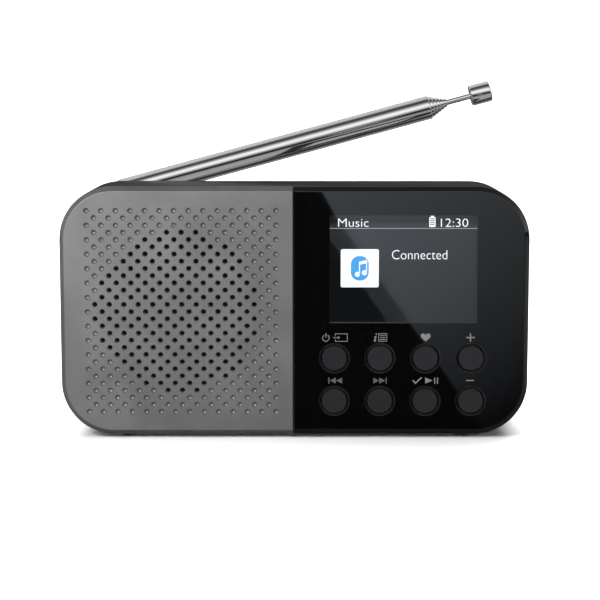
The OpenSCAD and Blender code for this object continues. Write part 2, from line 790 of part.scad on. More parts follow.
spring_turns = 4;
spring_wire = 0.5;
module battery_spring() {
    n = 12 * spring_turns;
    x0 = well_left + 0.5 + spring_wire;
    x1 = cell_left - spring_wire;
    color("#c8c8cc") translate([0, y_front + cell_depth, cell_zc])
        swept([for (i = [0 : n]) let (t = i / n, r = 5.5 - 2.5 * t)
            [x0 + (x1 - x0) * t, r * cos(360 * spring_turns * t), r * sin(360 * spring_turns * t)]],
                spring_wire, 8);
}

module battery_contacts() {
    color("#c8c8cc") {
        block(well_left, cell_zc - 6, 0.5, 12, cell_depth - 6, cell_depth + 6);
        block(well_right - 0.5, cell_zc - 6, 0.5, 12, cell_depth - 6, cell_depth + 6);
        block(well_left - well_wall - 1.5, cell_zc + 5, well_wall + 1.5 + eps, 2, cell_depth - 0.2,
            cell_depth + 0.2);
        block(well_right - eps, cell_zc + 5, well_wall + 1.5, 2, cell_depth - 0.2, cell_depth + 0.2);
        block(well_left, cell_zc + 5, 0.5, 2, cell_depth - 6, cell_depth + 6);
        block(well_right - 0.5, cell_zc + 5, 0.5, 2, cell_depth - 6, cell_depth + 6);
        translate([cell_left + cell_len, y_front + cell_depth, cell_zc]) rotate([0, 90, 0])
            cylinder(r = 2.5, h = well_right - cell_left - cell_len - 0.5 + eps);
    }
}

// ================= leads =================
lead_r = 0.6;
tag_x = driver_x + magnet_r + 3.9;
plug_x = board_left + 1.95;
driver_lead_routes = [for (s = [-1, 1]) [[tag_x + lead_r, magnet_front + 2.45, z_mid + s * 2.3],
    [tag_x + 2.4, magnet_front + 2, z_mid + 2 + s * 2],
    [plug_x - 5.5, board_back + 4.2, driver_plug_z - 1 + s], [plug_x - 3.2, board_back + 2.2,
        driver_plug_z + s],
    [plug_x - 1.4, board_back + 2, driver_plug_z + s], [plug_x, board_back + 2, driver_plug_z + s]]];
battery_lead_route = [[well_left - well_wall - 1.2, cell_depth - 0.85, cell_zc + 6],
    [well_left - well_wall - 2, cell_depth - 3, cell_zc + 5],
    [well_left - well_wall - 2.4, board_back + 6, cell_zc + 2], [plug_x - 3.4, board_back + 2.2,
        cell_plug_z - 1.6],
    [plug_x - 1.4, board_back + 1.3, cell_plug_z - 1.2], [plug_x, board_back + 1.3, cell_plug_z - 1.2]];
battery_lead_far_route = [[well_right + well_wall + 0.9, cell_depth - 0.85, cell_zc + 6],
    [well_right + well_wall + 0.9, cell_depth - 2.4, cell_zc + 9],
    [well_right + well_wall + 0.6, cell_depth - 4, cell_zc + well_clear / 2 + 2.8], [well_right - 5,
        cell_depth - 5, cell_zc + well_clear / 2 + 3.4], [well_right - 20, cell_depth - 6,
        cell_zc + well_clear / 2 + 3],
    [well_left + 20, cell_depth - 7, cell_zc + well_clear / 2 + 3.2], [well_left + 3, board_back + 8,
        cell_zc + well_clear / 2 + 3],
    [well_left - well_wall - 2.6, board_back + 5.5, cell_zc + well_clear / 2 + 3.6], [plug_x - 4,
        board_back + 2.2, cell_plug_z + 1.6],
    [plug_x - 1.4, board_back + 1.3, cell_plug_z + 1.2], [plug_x, board_back + 1.3, cell_plug_z + 1.2]];
aerial_lead_route = [[swivel_x + 6.4, aerial_depth, channel_floor - wall - 2.75], [swivel_x + 10,
    aerial_depth - 1, channel_floor - wall - 3.2],
    [swivel_x + 19, aerial_depth - 6, channel_floor - wall - 4], [swivel_x + 29, aerial_depth - 9,
        channel_floor - wall - 3],
    [swivel_x + 41, aerial_depth - 13, channel_floor - wall - 2.6], [swivel_x + 52, board_back + 7,
        z_low + 66.6],
    [swivel_x + 61, board_back + 5.6, z_low + 64.6], [4 - lead_r, board_back + 1.4, z_low + 64]];
module lead(route) {
    swept([for (p = curve(route, 4)) [p[0], y_front + p[1], p[2]]], lead_r, 8);
}
module driver_lead() { color("#a01818") for (r = driver_lead_routes) lead(r); }
module battery_lead() { color("#a01818") { lead(battery_lead_route); lead(battery_lead_far_route); } }
module aerial_lead() { color("#101010") lead(aerial_lead_route); }

// ================= keys =================
module key(i) {
    p = key_xz(i);
    color("#26262a") {
        peg(p[0], p[1], key_dia / 2 - 0.3, -key_proud, -key_proud + 0.3, key_dia / 2);
        peg(p[0], p[1], key_dia / 2, -key_proud + 0.3, key_flange_front);
        peg(p[0], p[1], key_flange_r, key_flange_front, key_flange_front + key_flange_t);
        peg(p[0], p[1], 1.5, key_flange_front + key_flange_t, key_stem_end);
    }
}

// ================= aerial =================
// Places children drawn along +X from the pivot pin, at the lifted angle.
module on_aerial() {
    translate([swivel_x, y_front + aerial_depth, pivot_z]) rotate([0, -aerial_lift, 0]) children();
}
module rod_x(r, s0, s1) { translate([s0, 0, 0]) rotate([0, 90, 0]) cylinder(r = r, h = s1 - s0); }

function section_r(k) = aerial_dia / 2 - (k - 1) * aerial_step / 2;
function section_end(k) = aerial_reach + (k - 1) * aerial_show;
function section_start(k) = plug_end + 1 + (k - 1) * 0.8;

module aerial_bracket() {
    top = channel_floor - wall - 1.5;
    color("#c0a050") difference() {
        union() {
            translate([swivel_x - 4, y_front + aerial_depth - 4, top - 0.6]) cube([8, 6.3, 0.6]);
            translate([swivel_x + 4 - eps, y_front + aerial_depth - 2.5, top - 0.6]) cube([4, 5, 0.6]);
        }
        translate([swivel_x, y_front + aerial_depth, top - 2]) cylinder(r = swivel_neck_r + slip, h = 4);
    }
}

module aerial_swivel() {
    low = channel_floor + 0.1;
    neck_low = channel_floor - wall - 2.3;
    color("#b8babd") difference() {
        union() {
            translate([swivel_x, y_front + aerial_depth, low]) cylinder(r = aerial_dia / 2,
                h = pivot_z - ear_r - low + 1.2);
            translate([swivel_x, y_front + aerial_depth, neck_low]) cylinder(r = swivel_neck_r,
                h = low - neck_low + eps);
            translate([swivel_x, y_front + aerial_depth, neck_low - 1.2]) cylinder(r = swivel_collar_r,
                h = 1.2);
            intersection() {
                translate([swivel_x, y_front + aerial_depth, low]) cylinder(r = aerial_dia / 2, h = far);
                union() {
                    peg(swivel_x, pivot_z, ear_r, aerial_depth - aerial_dia / 2,
                        aerial_depth + aerial_dia / 2);
                    block(swivel_x - ear_r, low, 2 * ear_r, pivot_z - low, aerial_depth - aerial_dia / 2,
                        aerial_depth + aerial_dia / 2);
                }
            }
        }
        // slot between the ears
        translate([swivel_x - far / 2, y_front + aerial_depth - tongue_t / 2 - 0.1, pivot_z - ear_r + 0.1])
            cube([far, tongue_t + 0.2, far]);
        peg(swivel_x, pivot_z, pin_r + slip, 0, body_d + 1);
    }
}

module aerial_pin() {
    color("#8a8c90") peg(swivel_x, pivot_z, pin_r, aerial_depth - aerial_dia / 2 + 0.8,
        aerial_depth + aerial_dia / 2 - 0.8);
}

// A section with its lip turned in at the open end and its collar swelled at the foot.
module section_tube(k) {
    r = section_r(k);
    bore = r - tube_wall;
    s0 = section_start(k);
    s1 = section_end(k);
    outer_bore = section_r(k - 1) - tube_wall;
    color("#c9cbce") on_aerial() difference() {
        union() {
            rod_x(r, s0, s1);
            rod_x(outer_bore - slip, s0, s0 + collar_len);
        }
        rod_x(bore, s0 + 0.5, s1 - lip_len);
        rod_x(section_r(k + 1) + slip, s1 - lip_len - eps, s1 + 1);
    }
}

module aerial_section_1() {
    r = section_r(1);
    color("#c9cbce") on_aerial() difference() {
        union() {
            rod_x(r, plug_start, section_end(1));
            intersection() {
                rotate([90, 0, 0]) translate([0, 0, -tongue_t / 2]) union() {
                    cylinder(r = ear_r - 0.2, h = tongue_t);
                    translate([0, -ear_r + 0.2, 0]) cube([plug_start + 1, 2 * ear_r - 0.4, tongue_t]);
                }
                rod_x(r, -far / 2, far / 2);
            }
        }
        rod_x(r - tube_wall, plug_end, section_end(1) - lip_len);
        rod_x(section_r(2) + slip, section_end(1) - lip_len - eps, section_end(1) + 1);
        rotate([90, 0, 0]) cylinder(r = pin_r + slip, h = far, center = true);
    }
}

module aerial_rod() {
    k = section_count;
    rod_end = section_end(k - 1) + aerial_rod_show;
    color("#c9cbce") on_aerial() {
        rod_x(section_r(k), section_start(k), rod_end + eps);
        rod_x(section_r(k - 1) - tube_wall - slip, section_start(k), section_start(k) + collar_len);
        rod_x(aerial_cap_dia / 2, rod_end, rod_end + aerial_cap_len);
    }
}

front_case();
rear_cover();
grille_panel();
control_panel();
display_window();
grille_cloth();
battery_door();
door_screw();
feet();
case_screws();
driver_gasket();
driver_basket();
driver_surround();
driver_cone();
driver_dust_cap();
driver_voice_coil();
driver_spider();
driver_top_plate();
driver_magnet();
driver_yoke();
driver_terminals();
driver_screws();
display_glass();
display_tray();
display_ribbon();
main_board();
board_screws();
tact_switches();
tuner_module();
board_chips();
board_capacitors();
board_connectors();
port_board();
port_screws();
headphone_socket();
usb_socket();
battery_cell();
battery_spring();
battery_contacts();
driver_lead();
battery_lead();
aerial_lead();
key(0);  // key_power
key(1);  // key_info
key(2);  // key_favourite
key(3);  // key_volume_up
key(4);  // key_previous
key(5);  // key_next
key(6);  // key_select
key(7);  // key_volume_down
aerial_bracket();
aerial_swivel();
aerial_pin();
aerial_section_1();
section_tube(2);  // aerial_section_2
section_tube(3);  // aerial_section_3
section_tube(4);  // aerial_section_4
section_tube(5);  // aerial_section_5
section_tube(6);  // aerial_section_6
aerial_rod();
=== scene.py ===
import bpy
import bmesh
import json
import math
from mathutils import Matrix, Vector

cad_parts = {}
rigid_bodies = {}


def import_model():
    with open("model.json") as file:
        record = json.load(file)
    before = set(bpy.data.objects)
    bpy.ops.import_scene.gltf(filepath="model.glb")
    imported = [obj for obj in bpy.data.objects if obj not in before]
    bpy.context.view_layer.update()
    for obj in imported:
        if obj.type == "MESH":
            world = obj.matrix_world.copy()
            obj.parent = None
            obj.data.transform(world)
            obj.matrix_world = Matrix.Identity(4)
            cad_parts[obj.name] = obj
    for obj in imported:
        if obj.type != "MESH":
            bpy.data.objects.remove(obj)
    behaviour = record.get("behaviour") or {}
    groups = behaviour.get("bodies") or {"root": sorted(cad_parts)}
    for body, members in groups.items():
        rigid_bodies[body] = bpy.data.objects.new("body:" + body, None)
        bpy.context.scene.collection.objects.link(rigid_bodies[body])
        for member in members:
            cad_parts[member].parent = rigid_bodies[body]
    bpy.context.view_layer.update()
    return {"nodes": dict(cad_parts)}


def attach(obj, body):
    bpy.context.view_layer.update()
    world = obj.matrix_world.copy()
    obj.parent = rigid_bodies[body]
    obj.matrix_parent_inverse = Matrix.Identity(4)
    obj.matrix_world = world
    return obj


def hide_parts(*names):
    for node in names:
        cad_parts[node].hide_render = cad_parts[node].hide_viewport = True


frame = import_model()
scene = bpy.context.scene

# ---------------------------------------------------------------------------
# Table and studio. The radio stands on a pale seamless sweep of card, lit by
# softboxes, with the camera low in front of it and looking slightly down.
# ---------------------------------------------------------------------------
MM = 0.001
plate_y = -0.01925          # front face of the two covers
foot_lift = 0.001           # the case's underside stands this far above the table
camera_x = 0.00176
camera_z = 0.1168
camera_gap = 0.5445         # from the front face to the lens
camera_dip = 7.53           # degrees below level
sweep_back = 2.5            # where the card turns up behind the radio


def clear_selection():
    if bpy.context.mode != "OBJECT":
        bpy.ops.object.mode_set(mode="OBJECT")
    bpy.ops.object.select_all(action="DESELECT")


def hold(piece):
    """Select this piece alone and make it the active one."""
    clear_selection()
    piece.select_set(True)
    bpy.context.view_layer.objects.active = piece


def pick(piece, kind, test):
    """In edit mode, select the vertices, edges or faces of the piece that pass the test."""
    bpy.ops.mesh.select_mode(type=kind)
    bpy.ops.mesh.select_all(action="DESELECT")
    mesh = bmesh.from_edit_mesh(piece.data)
    for item in {"VERT": mesh.verts, "EDGE": mesh.edges, "FACE": mesh.faces}[kind]:
        if test(item):
            item.select_set(True)
    bmesh.update_edit_mesh(piece.data)


def settle(piece):
    """Put the piece's place, turn and size into its mesh."""
    bpy.ops.object.transform_apply(location=True, rotation=True, scale=True)
    return piece


def dial(node, values):
    for socket, value in values.items():
        node.inputs[socket].default_value = value


def wire(tree, *pairs):
    for source, target in pairs:
        tree.links.new(source, target)


clear_selection()
bpy.ops.mesh.primitive_plane_add(size=1.0)
sweep = bpy.context.object
sweep.name = "table_sweep"
sweep.scale = (8.0, 2 * sweep_back, 1.0)
settle(sweep)
bpy.ops.object.mode_set(mode="EDIT")
pick(sweep, "EDGE", lambda edge: all(v.co.y > sweep_back - 0.1 for v in edge.verts))
bpy.ops.mesh.extrude_region_move(TRANSFORM_OT_translate={"value": (0, 0, 3.0)})
pick(sweep, "EDGE", lambda edge: all(v.co.y > sweep_back - 0.1 and v.co.z < 0.1 for v in edge.verts))
bpy.ops.mesh.bevel(offset=1.5, segments=20, affect="EDGES")
bpy.ops.object.mode_set(mode="OBJECT")
bpy.ops.object.shade_smooth()
card = bpy.data.materials.new("sweep_card")
card.use_nodes = True
dial(card.node_tree.nodes["Principled BSDF"], {"Base Color": (0.95, 0.95, 0.95, 1.0), "Roughness": 0.9})
sweep.data.materials.append(card)
sweep.visible_glossy = False
sweep.visible_transmission = False
scene.view_settings.view_transform = "Standard"

# The air as shiny parts see it, by the angle round from straight ahead of the radio (0)
# over the top (90) to behind (180) and below (-90): bright boxes with dark gaps between.
air = bpy.data.worlds.new("studio_air")
scene.world = air
air.use_nodes = True
air_nodes = air.node_tree.nodes
sky_way = air_nodes.new("ShaderNodeTexCoord")
sky_split = air_nodes.new("ShaderNodeSeparateXYZ")
sky_front = air_nodes.new("ShaderNodeMath")
sky_front.operation = "MULTIPLY"
sky_front.inputs[1].default_value = -1.0
sky_turn = air_nodes.new("ShaderNodeMath")
sky_turn.operation = "ARCTAN2"
sky_part = air_nodes.new("ShaderNodeMapRange")
dial(sky_part, {"From Min": -math.pi, "From Max": math.pi})
sky_steps = air_nodes.new("ShaderNodeValToRGB")
bands = sky_steps.color_ramp
bands.elements[0].color = (0.05, 0.05, 0.05, 1)
bands.elements[1].position = 1.0
bands.elements[1].color = (0.04, 0.04, 0.04, 1)
sky_levels = (
    (-134, 0.33), (-119, 0.2), (-102, 0.05), (-92, 0.02), (-80, 0.06), (-68, 0.3), (-52, 0.4), (-25, 0.34),
    (-16, 0.13), (-14, 0.012), (-2.5, 0.012), (-0.5, 0.11), (7, 0.33), (14, 0.7), (24, 1.05), (31, 1.1),
    (40, 0.85), (47, 0.5), (57, 0.21), (66, 0.07), (77, 0.045), (86, 0.12), (100, 0.5), (112, 0.62),
    (150, 0.65), (160, 0.05))
for angle, level in sky_levels:
    bands.elements.new((angle + 180) / 360).color = (level, level, level, 1)
wire(air.node_tree,
     (sky_way.outputs["Generated"], sky_split.inputs["Vector"]),
     (sky_split.outputs["Y"], sky_front.inputs[0]),
     (sky_split.outputs["Z"], sky_turn.inputs[0]), (sky_front.outputs[0], sky_turn.inputs[1]),
     (sky_turn.outputs[0], sky_part.inputs["Value"]), (sky_part.outputs["Result"], sky_steps.inputs["Fac"]),
     (sky_steps.outputs["Color"], air_nodes["Background"].inputs["Color"]))
air_nodes["Background"].inputs["Strength"].default_value = 1.0
air.cycles_visibility.diffuse = False


def softbox(name, place, target, width, height, power, shows=True):
    lamp = bpy.data.lights.new(name, "AREA")
    lamp.shape = "RECTANGLE"
    lamp.size = width
    lamp.size_y = height
    lamp.energy = power
    box = bpy.data.objects.new(name, lamp)
    scene.collection.objects.link(box)
    aim = (Vector(target) - Vector(place)).to_track_quat("-Z", "Y").to_matrix().to_4x4()
    box.matrix_world = Matrix.Translation(Vector(place)) @ aim
    box.visible_camera = False
    box.visible_glossy = shows
    return box


softbox("softbox_left", (-0.32, -0.30, 0.38), (-0.02, 0, 0.04), 0.20, 0.20, 2.3, shows=False)
softbox("softbox_low", (-0.34, -0.55, 0.16), (-0.04, 0, 0.05), 0.45, 0.22, 1.0, shows=False)
softbox("softbox_top", (0.3, 0.6, 1.2), (0, 0, 0.04), 1.2, 0.8, 5.0, shows=False)

# Two large lights wash only the card, so it goes white behind and under the radio.
card_only = bpy.data.collections.new("card_only")
card_only.objects.link(sweep)
for name, place, target, width, height, power in (
        ("backdrop_light", (0.0, 0.9, 2.0), (0, 2.6, 0.3), 3.0, 1.0, 120.0),
        ("table_light", (0.0, 0.3, 2.2), (0, 0.3, 0.0), 2.5, 1.6, 60.0)):
    wash = softbox(name, place, target, width, height, power, shows=False)
    wash.light_linking.receiver_collection = card_only

# A white card stands far in front, cut so that its long edge crosses the gloss cover on a
# slant; it fades downwards and to the right. Only shiny faces see it.
card_away = 2.0
card_gain = 1 + card_away / camera_gap
high_right, high_down = 0.00584, 0.0373     # two points of the edge as seen on the cover, from the lens
low_right, low_down = 0.06054, 0.1158
edge_high = Vector((camera_x + high_right * card_gain, 0, camera_z - high_down * card_gain))
edge_low = Vector((camera_x + low_right * card_gain, 0, camera_z - low_down * card_gain))
edge_middle = (edge_high + edge_low) / 2 + Vector((0, plate_y - card_away, 0))
slant = math.atan2(edge_high.z - edge_low.z, edge_low.x - edge_high.x)
edge_away = Vector((math.sin(slant), 0, math.cos(slant)))
clear_selection()
bpy.ops.mesh.primitive_plane_add(size=1.0)
reflector = bpy.context.object
reflector.name = "reflector_card"
reflector.scale = ((edge_high - edge_low).length + 0.06, 0.26, 1.0)
reflector.location = (0, 0.13, 0)
settle(reflector)
reflector.matrix_world = Matrix.Translation(edge_middle) @ Matrix(
    ((math.cos(slant), edge_away.x, 0), (0, 0, -1), (-math.sin(slant), edge_away.z, 0))).to_4x4()
hold(reflector)
settle(reflector)
bpy.ops.object.mode_set(mode="EDIT")
bpy.ops.mesh.select_all(action="SELECT")
bpy.ops.mesh.bisect(plane_co=(0, 0, edge_high.z + 0.01), plane_no=(0, 0, 1), clear_outer=True)
bpy.ops.object.mode_set(mode="OBJECT")
glow = bpy.data.materials.new("reflector_glow")
glow.use_nodes = True
glow.cycles.emission_sampling = "NONE"
glow_nodes = glow.node_tree.nodes
glow_nodes.clear()
glow_place = glow_nodes.new("ShaderNodeTexCoord")
glow_across = glow_nodes.new("ShaderNodeVectorMath")
glow_across.operation = "DOT_PRODUCT"
glow_across.inputs[1].default_value = (-1.0, 0, 1.47)
glow_fade = glow_nodes.new("ShaderNodeMapRange")
dial(glow_fade, {"From Min": -0.88, "From Max": -0.08, "To Min": 0.03, "To Max": 0.68})
glow_light = glow_nodes.new("ShaderNodeEmission")
glow_light.inputs["Color"].default_value = (0.84, 0.93, 1.0, 1)
glow_out = glow_nodes.new("ShaderNodeOutputMaterial")
wire(glow.node_tree,
     (glow_place.outputs["Object"], glow_across.inputs[0]),
     (glow_across.outputs["Value"], glow_fade.inputs["Value"]),
     (glow_fade.outputs["Result"], glow_light.inputs["Strength"]),
     (glow_light.outputs["Emission"], glow_out.inputs["Surface"]))
reflector.data.materials.append(glow)
reflector.visible_camera = False
reflector.visible_diffuse = False
reflector.visible_shadow = False

lens = bpy.data.cameras.new("camera")
lens.lens = 103.24
lens.sensor_width = 36.0
lens.clip_start = 0.01
camera = bpy.data.objects.new("camera", lens)
scene.collection.objects.link(camera)
camera.location = (camera_x, plate_y - camera_gap, camera_z)
camera.rotation_euler = (math.radians(90 - camera_dip), 0, 0)
scene.camera = camera


# ---------------------------------------------------------------------------
# Case halves. Two black ABS mouldings with a fine spark-eroded skin, screwed
# together from the back. Their outer edges are softened by the mould.
# ---------------------------------------------------------------------------
def new_group(name, inputs, outputs):
    group = bpy.data.node_groups.new(name, "ShaderNodeTree")
    for label, kind, value in inputs:
        socket = group.interface.new_socket(label, in_out="INPUT", socket_type=kind)
        socket.default_value = value
    for label, kind in outputs:
        group.interface.new_socket(label, in_out="OUTPUT", socket_type=kind)
    return group, group.nodes.new("NodeGroupInput"), group.nodes.new("NodeGroupOutput")


# Moulded grain: a fine skin over the surface, and a slow drift between two near tones.
grain, grain_in, grain_out = new_group(
    "moulded_grain",
    [("Colour", "NodeSocketColor", (0.5, 0.5, 0.5, 1)),
     ("Second Colour", "NodeSocketColor", (0.6, 0.6, 0.6, 1)),
     ("Grain Scale", "NodeSocketFloat", 3000.0), ("Mottle", "NodeSocketFloat", 0.5),
     ("Roughness", "NodeSocketFloat", 0.5), ("Roughness Spread", "NodeSocketFloat", 0.1)],
    [("Colour", "NodeSocketColor"), ("Roughness", "NodeSocketFloat"), ("Height", "NodeSocketFloat")])
place = grain.nodes.new("ShaderNodeTexCoord")
skin = grain.nodes.new("ShaderNodeTexNoise")
dial(skin, {"Detail": 4.0})
tone = grain.nodes.new("ShaderNodeTexNoise")
dial(tone, {"Scale": 70.0, "Detail": 3.0})
fleck = grain.nodes.new("ShaderNodeMath")
fleck.operation = "ADD"
spread = grain.nodes.new("ShaderNodeMapRange")
dial(spread, {"From Min": 0.75, "From Max": 1.25})
share = grain.nodes.new("ShaderNodeMath")
share.operation = "MULTIPLY"
tinted = grain.nodes.new("ShaderNodeMix")
tinted.data_type = "RGBA"
rough_gain = grain.nodes.new("ShaderNodeMath")
rough_gain.operation = "MULTIPLY_ADD"
rough_gain.inputs[2].default_value = 1.0
rough_shift = grain.nodes.new("ShaderNodeMath")
rough_shift.operation = "MULTIPLY"
wire(grain,
     (place.outputs["Object"], skin.inputs["Vector"]), (place.outputs["Object"], tone.inputs["Vector"]),
     (grain_in.outputs["Grain Scale"], skin.inputs["Scale"]),
     (tone.outputs["Fac"], fleck.inputs[0]), (skin.outputs["Fac"], fleck.inputs[1]),
     (fleck.outputs[0], spread.inputs["Value"]),
     (spread.outputs["Result"], share.inputs[0]), (grain_in.outputs["Mottle"], share.inputs[1]),
     (share.outputs[0], tinted.inputs[0]), (grain_in.outputs["Colour"], tinted.inputs[6]),
     (grain_in.outputs["Second Colour"], tinted.inputs[7]), (tinted.outputs[2], grain_out.inputs["Colour"]),
     (spread.outputs["Result"], rough_gain.inputs[0]),
     (grain_in.outputs["Roughness Spread"], rough_gain.inputs[1]),
     (grain_in.outputs["Roughness"], rough_shift.inputs[0]), (rough_gain.outputs[0], rough_shift.inputs[1]),
     (rough_shift.outputs[0], grain_out.inputs["Roughness"]),
     (skin.outputs["Fac"], grain_out.inputs["Height"]))


def moulded(name, colour, second, roughness, grain_scale=3000.0, mottle=0.5, bump=0.12,
            metallic=0.0, coat=0.0, specular=0.5):
    """A material with the moulded grain, drifting between two near tones."""
    material = bpy.data.materials.new(name)
    material.use_nodes = True
    nodes = material.node_tree.nodes
    shader = nodes["Principled BSDF"]
    skin_node = nodes.new("ShaderNodeGroup")
    skin_node.node_tree = grain
    dial(skin_node, {"Colour": (*colour, 1), "Second Colour": (*second, 1), "Grain Scale": grain_scale,
                     "Mottle": mottle, "Roughness": roughness, "Roughness Spread": 0.12})
    relief = nodes.new("ShaderNodeBump")
    dial(relief, {"Strength": bump, "Distance": 0.0001})
    wire(material.node_tree,
         (skin_node.outputs["Colour"], shader.inputs["Base Color"]),
         (skin_node.outputs["Roughness"], shader.inputs["Roughness"]),
         (skin_node.outputs["Height"], relief.inputs["Height"]),
         (relief.outputs["Normal"], shader.inputs["Normal"]))
    dial(shader, {"Metallic": metallic, "Coat Weight": coat, "Specular IOR Level": specular,
                  "Coat Roughness": 0.08})
    return material


def even_normals(piece, angle=32.0):
    """Smooth shading over soft edges, with flat faces left flat."""
    hold(piece)
    bpy.ops.object.shade_smooth_by_angle(angle=math.radians(angle))
    weights = piece.modifiers.new("even", "WEIGHTED_NORMAL")
    weights.keep_sharp = True
    bpy.ops.object.modifier_apply(modifier=weights.name)


def softened_copy(node, name, width, segments=2, angle=35.0):
    """A merged copy of a CAD node with its sharp edges rounded."""
    piece = bpy.data.objects.new(name, frame["nodes"][node].data.copy())
    scene.collection.objects.link(piece)
    hold(piece)
    bpy.ops.object.mode_set(mode="EDIT")
    bpy.ops.mesh.select_all(action="SELECT")
    bpy.ops.mesh.remove_doubles(threshold=0.000002)
    bpy.ops.mesh.dissolve_limited(angle_limit=math.radians(0.6))
    bpy.ops.object.mode_set(mode="OBJECT")
    bevel = piece.modifiers.new("softened", "BEVEL")
    bevel.width = width
    bevel.segments = segments
    bevel.limit_method = "ANGLE"
    bevel.angle_limit = math.radians(angle)
    bpy.ops.object.modifier_apply(modifier=bevel.name)
    even_normals(piece)
    piece.data.materials.clear()
    return piece


def dress(material, *nodes):
    """Give CAD nodes that keep their own mesh their material."""
    for node in nodes:
        held = frame["nodes"][node]
        if held.material_slots:
            for material_slot in held.material_slots:
                material_slot.material = material
        else:
            held.data.materials.append(material)


case_black = moulded("case_black", (0.010, 0.010, 0.0104), (0.015, 0.015, 0.0155), 0.40, 2600.0, 0.6, 0.2,
                     specular=0.3)
for node, width in (("front_case", 0.00012), ("rear_cover", 0.0003)):
    shell = softened_copy(node, node + "_moulding", width)
    shell.data.materials.append(case_black)
    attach(shell, "case")
    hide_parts(node)


# ---------------------------------------------------------------------------
# Grille cover. A painted plate over the left half of the front, bevelled round
# three sides. A square lattice is drilled through over the driver, and the
# rest of the same lattice is only dimpled.
# ---------------------------------------------------------------------------
plate_thick = 0.002
plate_tall = 0.080
corner_round = 0.017
plate_bevel = 0.0015


def cover_blank(name, inner, outer, inner_round):
    """A front plate from its inner edge to its rounded, bevelled outer edge."""
    clear_selection()
    bpy.ops.mesh.primitive_cube_add(size=1.0, location=((inner + outer) / 2, plate_y + plate_thick / 2,
                                                        foot_lift + plate_tall / 2))
    blank = bpy.context.object
    blank.name = name
    blank.scale = (abs(outer - inner), plate_thick, plate_tall)
    settle(blank)
    bpy.ops.object.mode_set(mode="EDIT")
    pick(blank, "EDGE", lambda edge: all(abs(v.co.x - outer) < 1e-5 for v in edge.verts)
         and abs(edge.verts[0].co.z - edge.verts[1].co.z) < 1e-6)
    bpy.ops.mesh.bevel(offset=corner_round, segments=28, affect="EDGES")
    pick(blank, "EDGE", lambda edge: all(abs(v.co.y - plate_y) < 1e-6 for v in edge.verts)
         and not all(abs(v.co.x - inner) < 1e-5 for v in edge.verts))
    bpy.ops.mesh.bevel(offset=plate_bevel, segments=1, affect="EDGES")
    pick(blank, "EDGE", lambda edge: all(abs(v.co.x - inner) < 1e-5 and abs(v.co.y - plate_y) < 1e-6
                                         for v in edge.verts))
    bpy.ops.mesh.bevel(offset=inner_round, segments=3, affect="EDGES")
    bpy.ops.object.mode_set(mode="OBJECT")
    ease = blank.modifiers.new("eased", "BEVEL")
    ease.width = 0.00014
    ease.segments = 3
    ease.limit_method = "ANGLE"
    ease.angle_limit = math.radians(30)
    bpy.ops.object.modifier_apply(modifier=ease.name)
    return blank


def cut_away(piece, cutter):
    hold(piece)
    cut = piece.modifiers.new("cut", "BOOLEAN")
    cut.operation = "DIFFERENCE"
    cut.solver = "EXACT"
    cut.object = cutter
    bpy.ops.object.modifier_apply(modifier=cut.name)
    bpy.data.objects.remove(cutter)


def drill(name, radius, rim, depth_front, rim_depth, depth_back, sides=20):
    """A drill along the depth of the radio, with a countersunk rim at the front face."""
    clear_selection()
    bpy.ops.mesh.primitive_circle_add(vertices=sides, radius=rim, fill_type="NGON",
                                      location=(0, plate_y + depth_front, 0),
                                      rotation=(math.radians(90), 0, 0))
    bit = settle(bpy.context.object)
    bit.name = name
    bpy.ops.object.mode_set(mode="EDIT")
    bpy.ops.mesh.select_all(action="SELECT")
    for step, scale in ((-depth_front, 1.0), (rim_depth, radius / rim), (depth_back - rim_depth, 1.0)):
        bpy.ops.mesh.extrude_region_move(TRANSFORM_OT_translate={"value": (0, step, 0)})
        here = bmesh.from_edit_mesh(bit.data)
        level = [v.co.y for v in here.verts if v.select][0]
        bpy.ops.transform.resize(value=(scale, 1, scale), center_override=(0, level, 0))
    bpy.ops.mesh.select_all(action="SELECT")
    bpy.ops.mesh.normals_make_consistent(inside=False)
    bpy.ops.object.mode_set(mode="OBJECT")
    return bit


def repeated(name, tool, places):
    """One mesh holding a copy of the tool at each place (x, z)."""
    gang = bmesh.new()
    for x, z in places:
        one = tool.data.copy()
        one.transform(Matrix.Translation((x, 0, z)))
        gang.from_mesh(one)
        bpy.data.meshes.remove(one)
    mesh = bpy.data.meshes.new(name)
    gang.to_mesh(mesh)
    gang.free()
    group = bpy.data.objects.new(name, mesh)
    scene.collection.objects.link(group)
    bpy.data.objects.remove(tool)
    return group


pitch = 4.63 * MM
lattice_x = -36.0 * MM
driver_x = -37.7 * MM
drill_reach = 26.4 * MM     # holes go through as far as this from the driver's middle
mid_z = foot_lift + 40 * MM
lattice = [(lattice_x + (column - (6.5 if row % 2 == 0 else 6.0)) * pitch, mid_z + row * pitch / 2)
           for row in range(-14, 15) for column in range(14 if row % 2 == 0 else 13)]
drilled = [p for p in lattice if math.hypot(p[0] - driver_x, p[1] - mid_z) <= drill_reach]
dimpled = [p for p in lattice if p not in drilled]

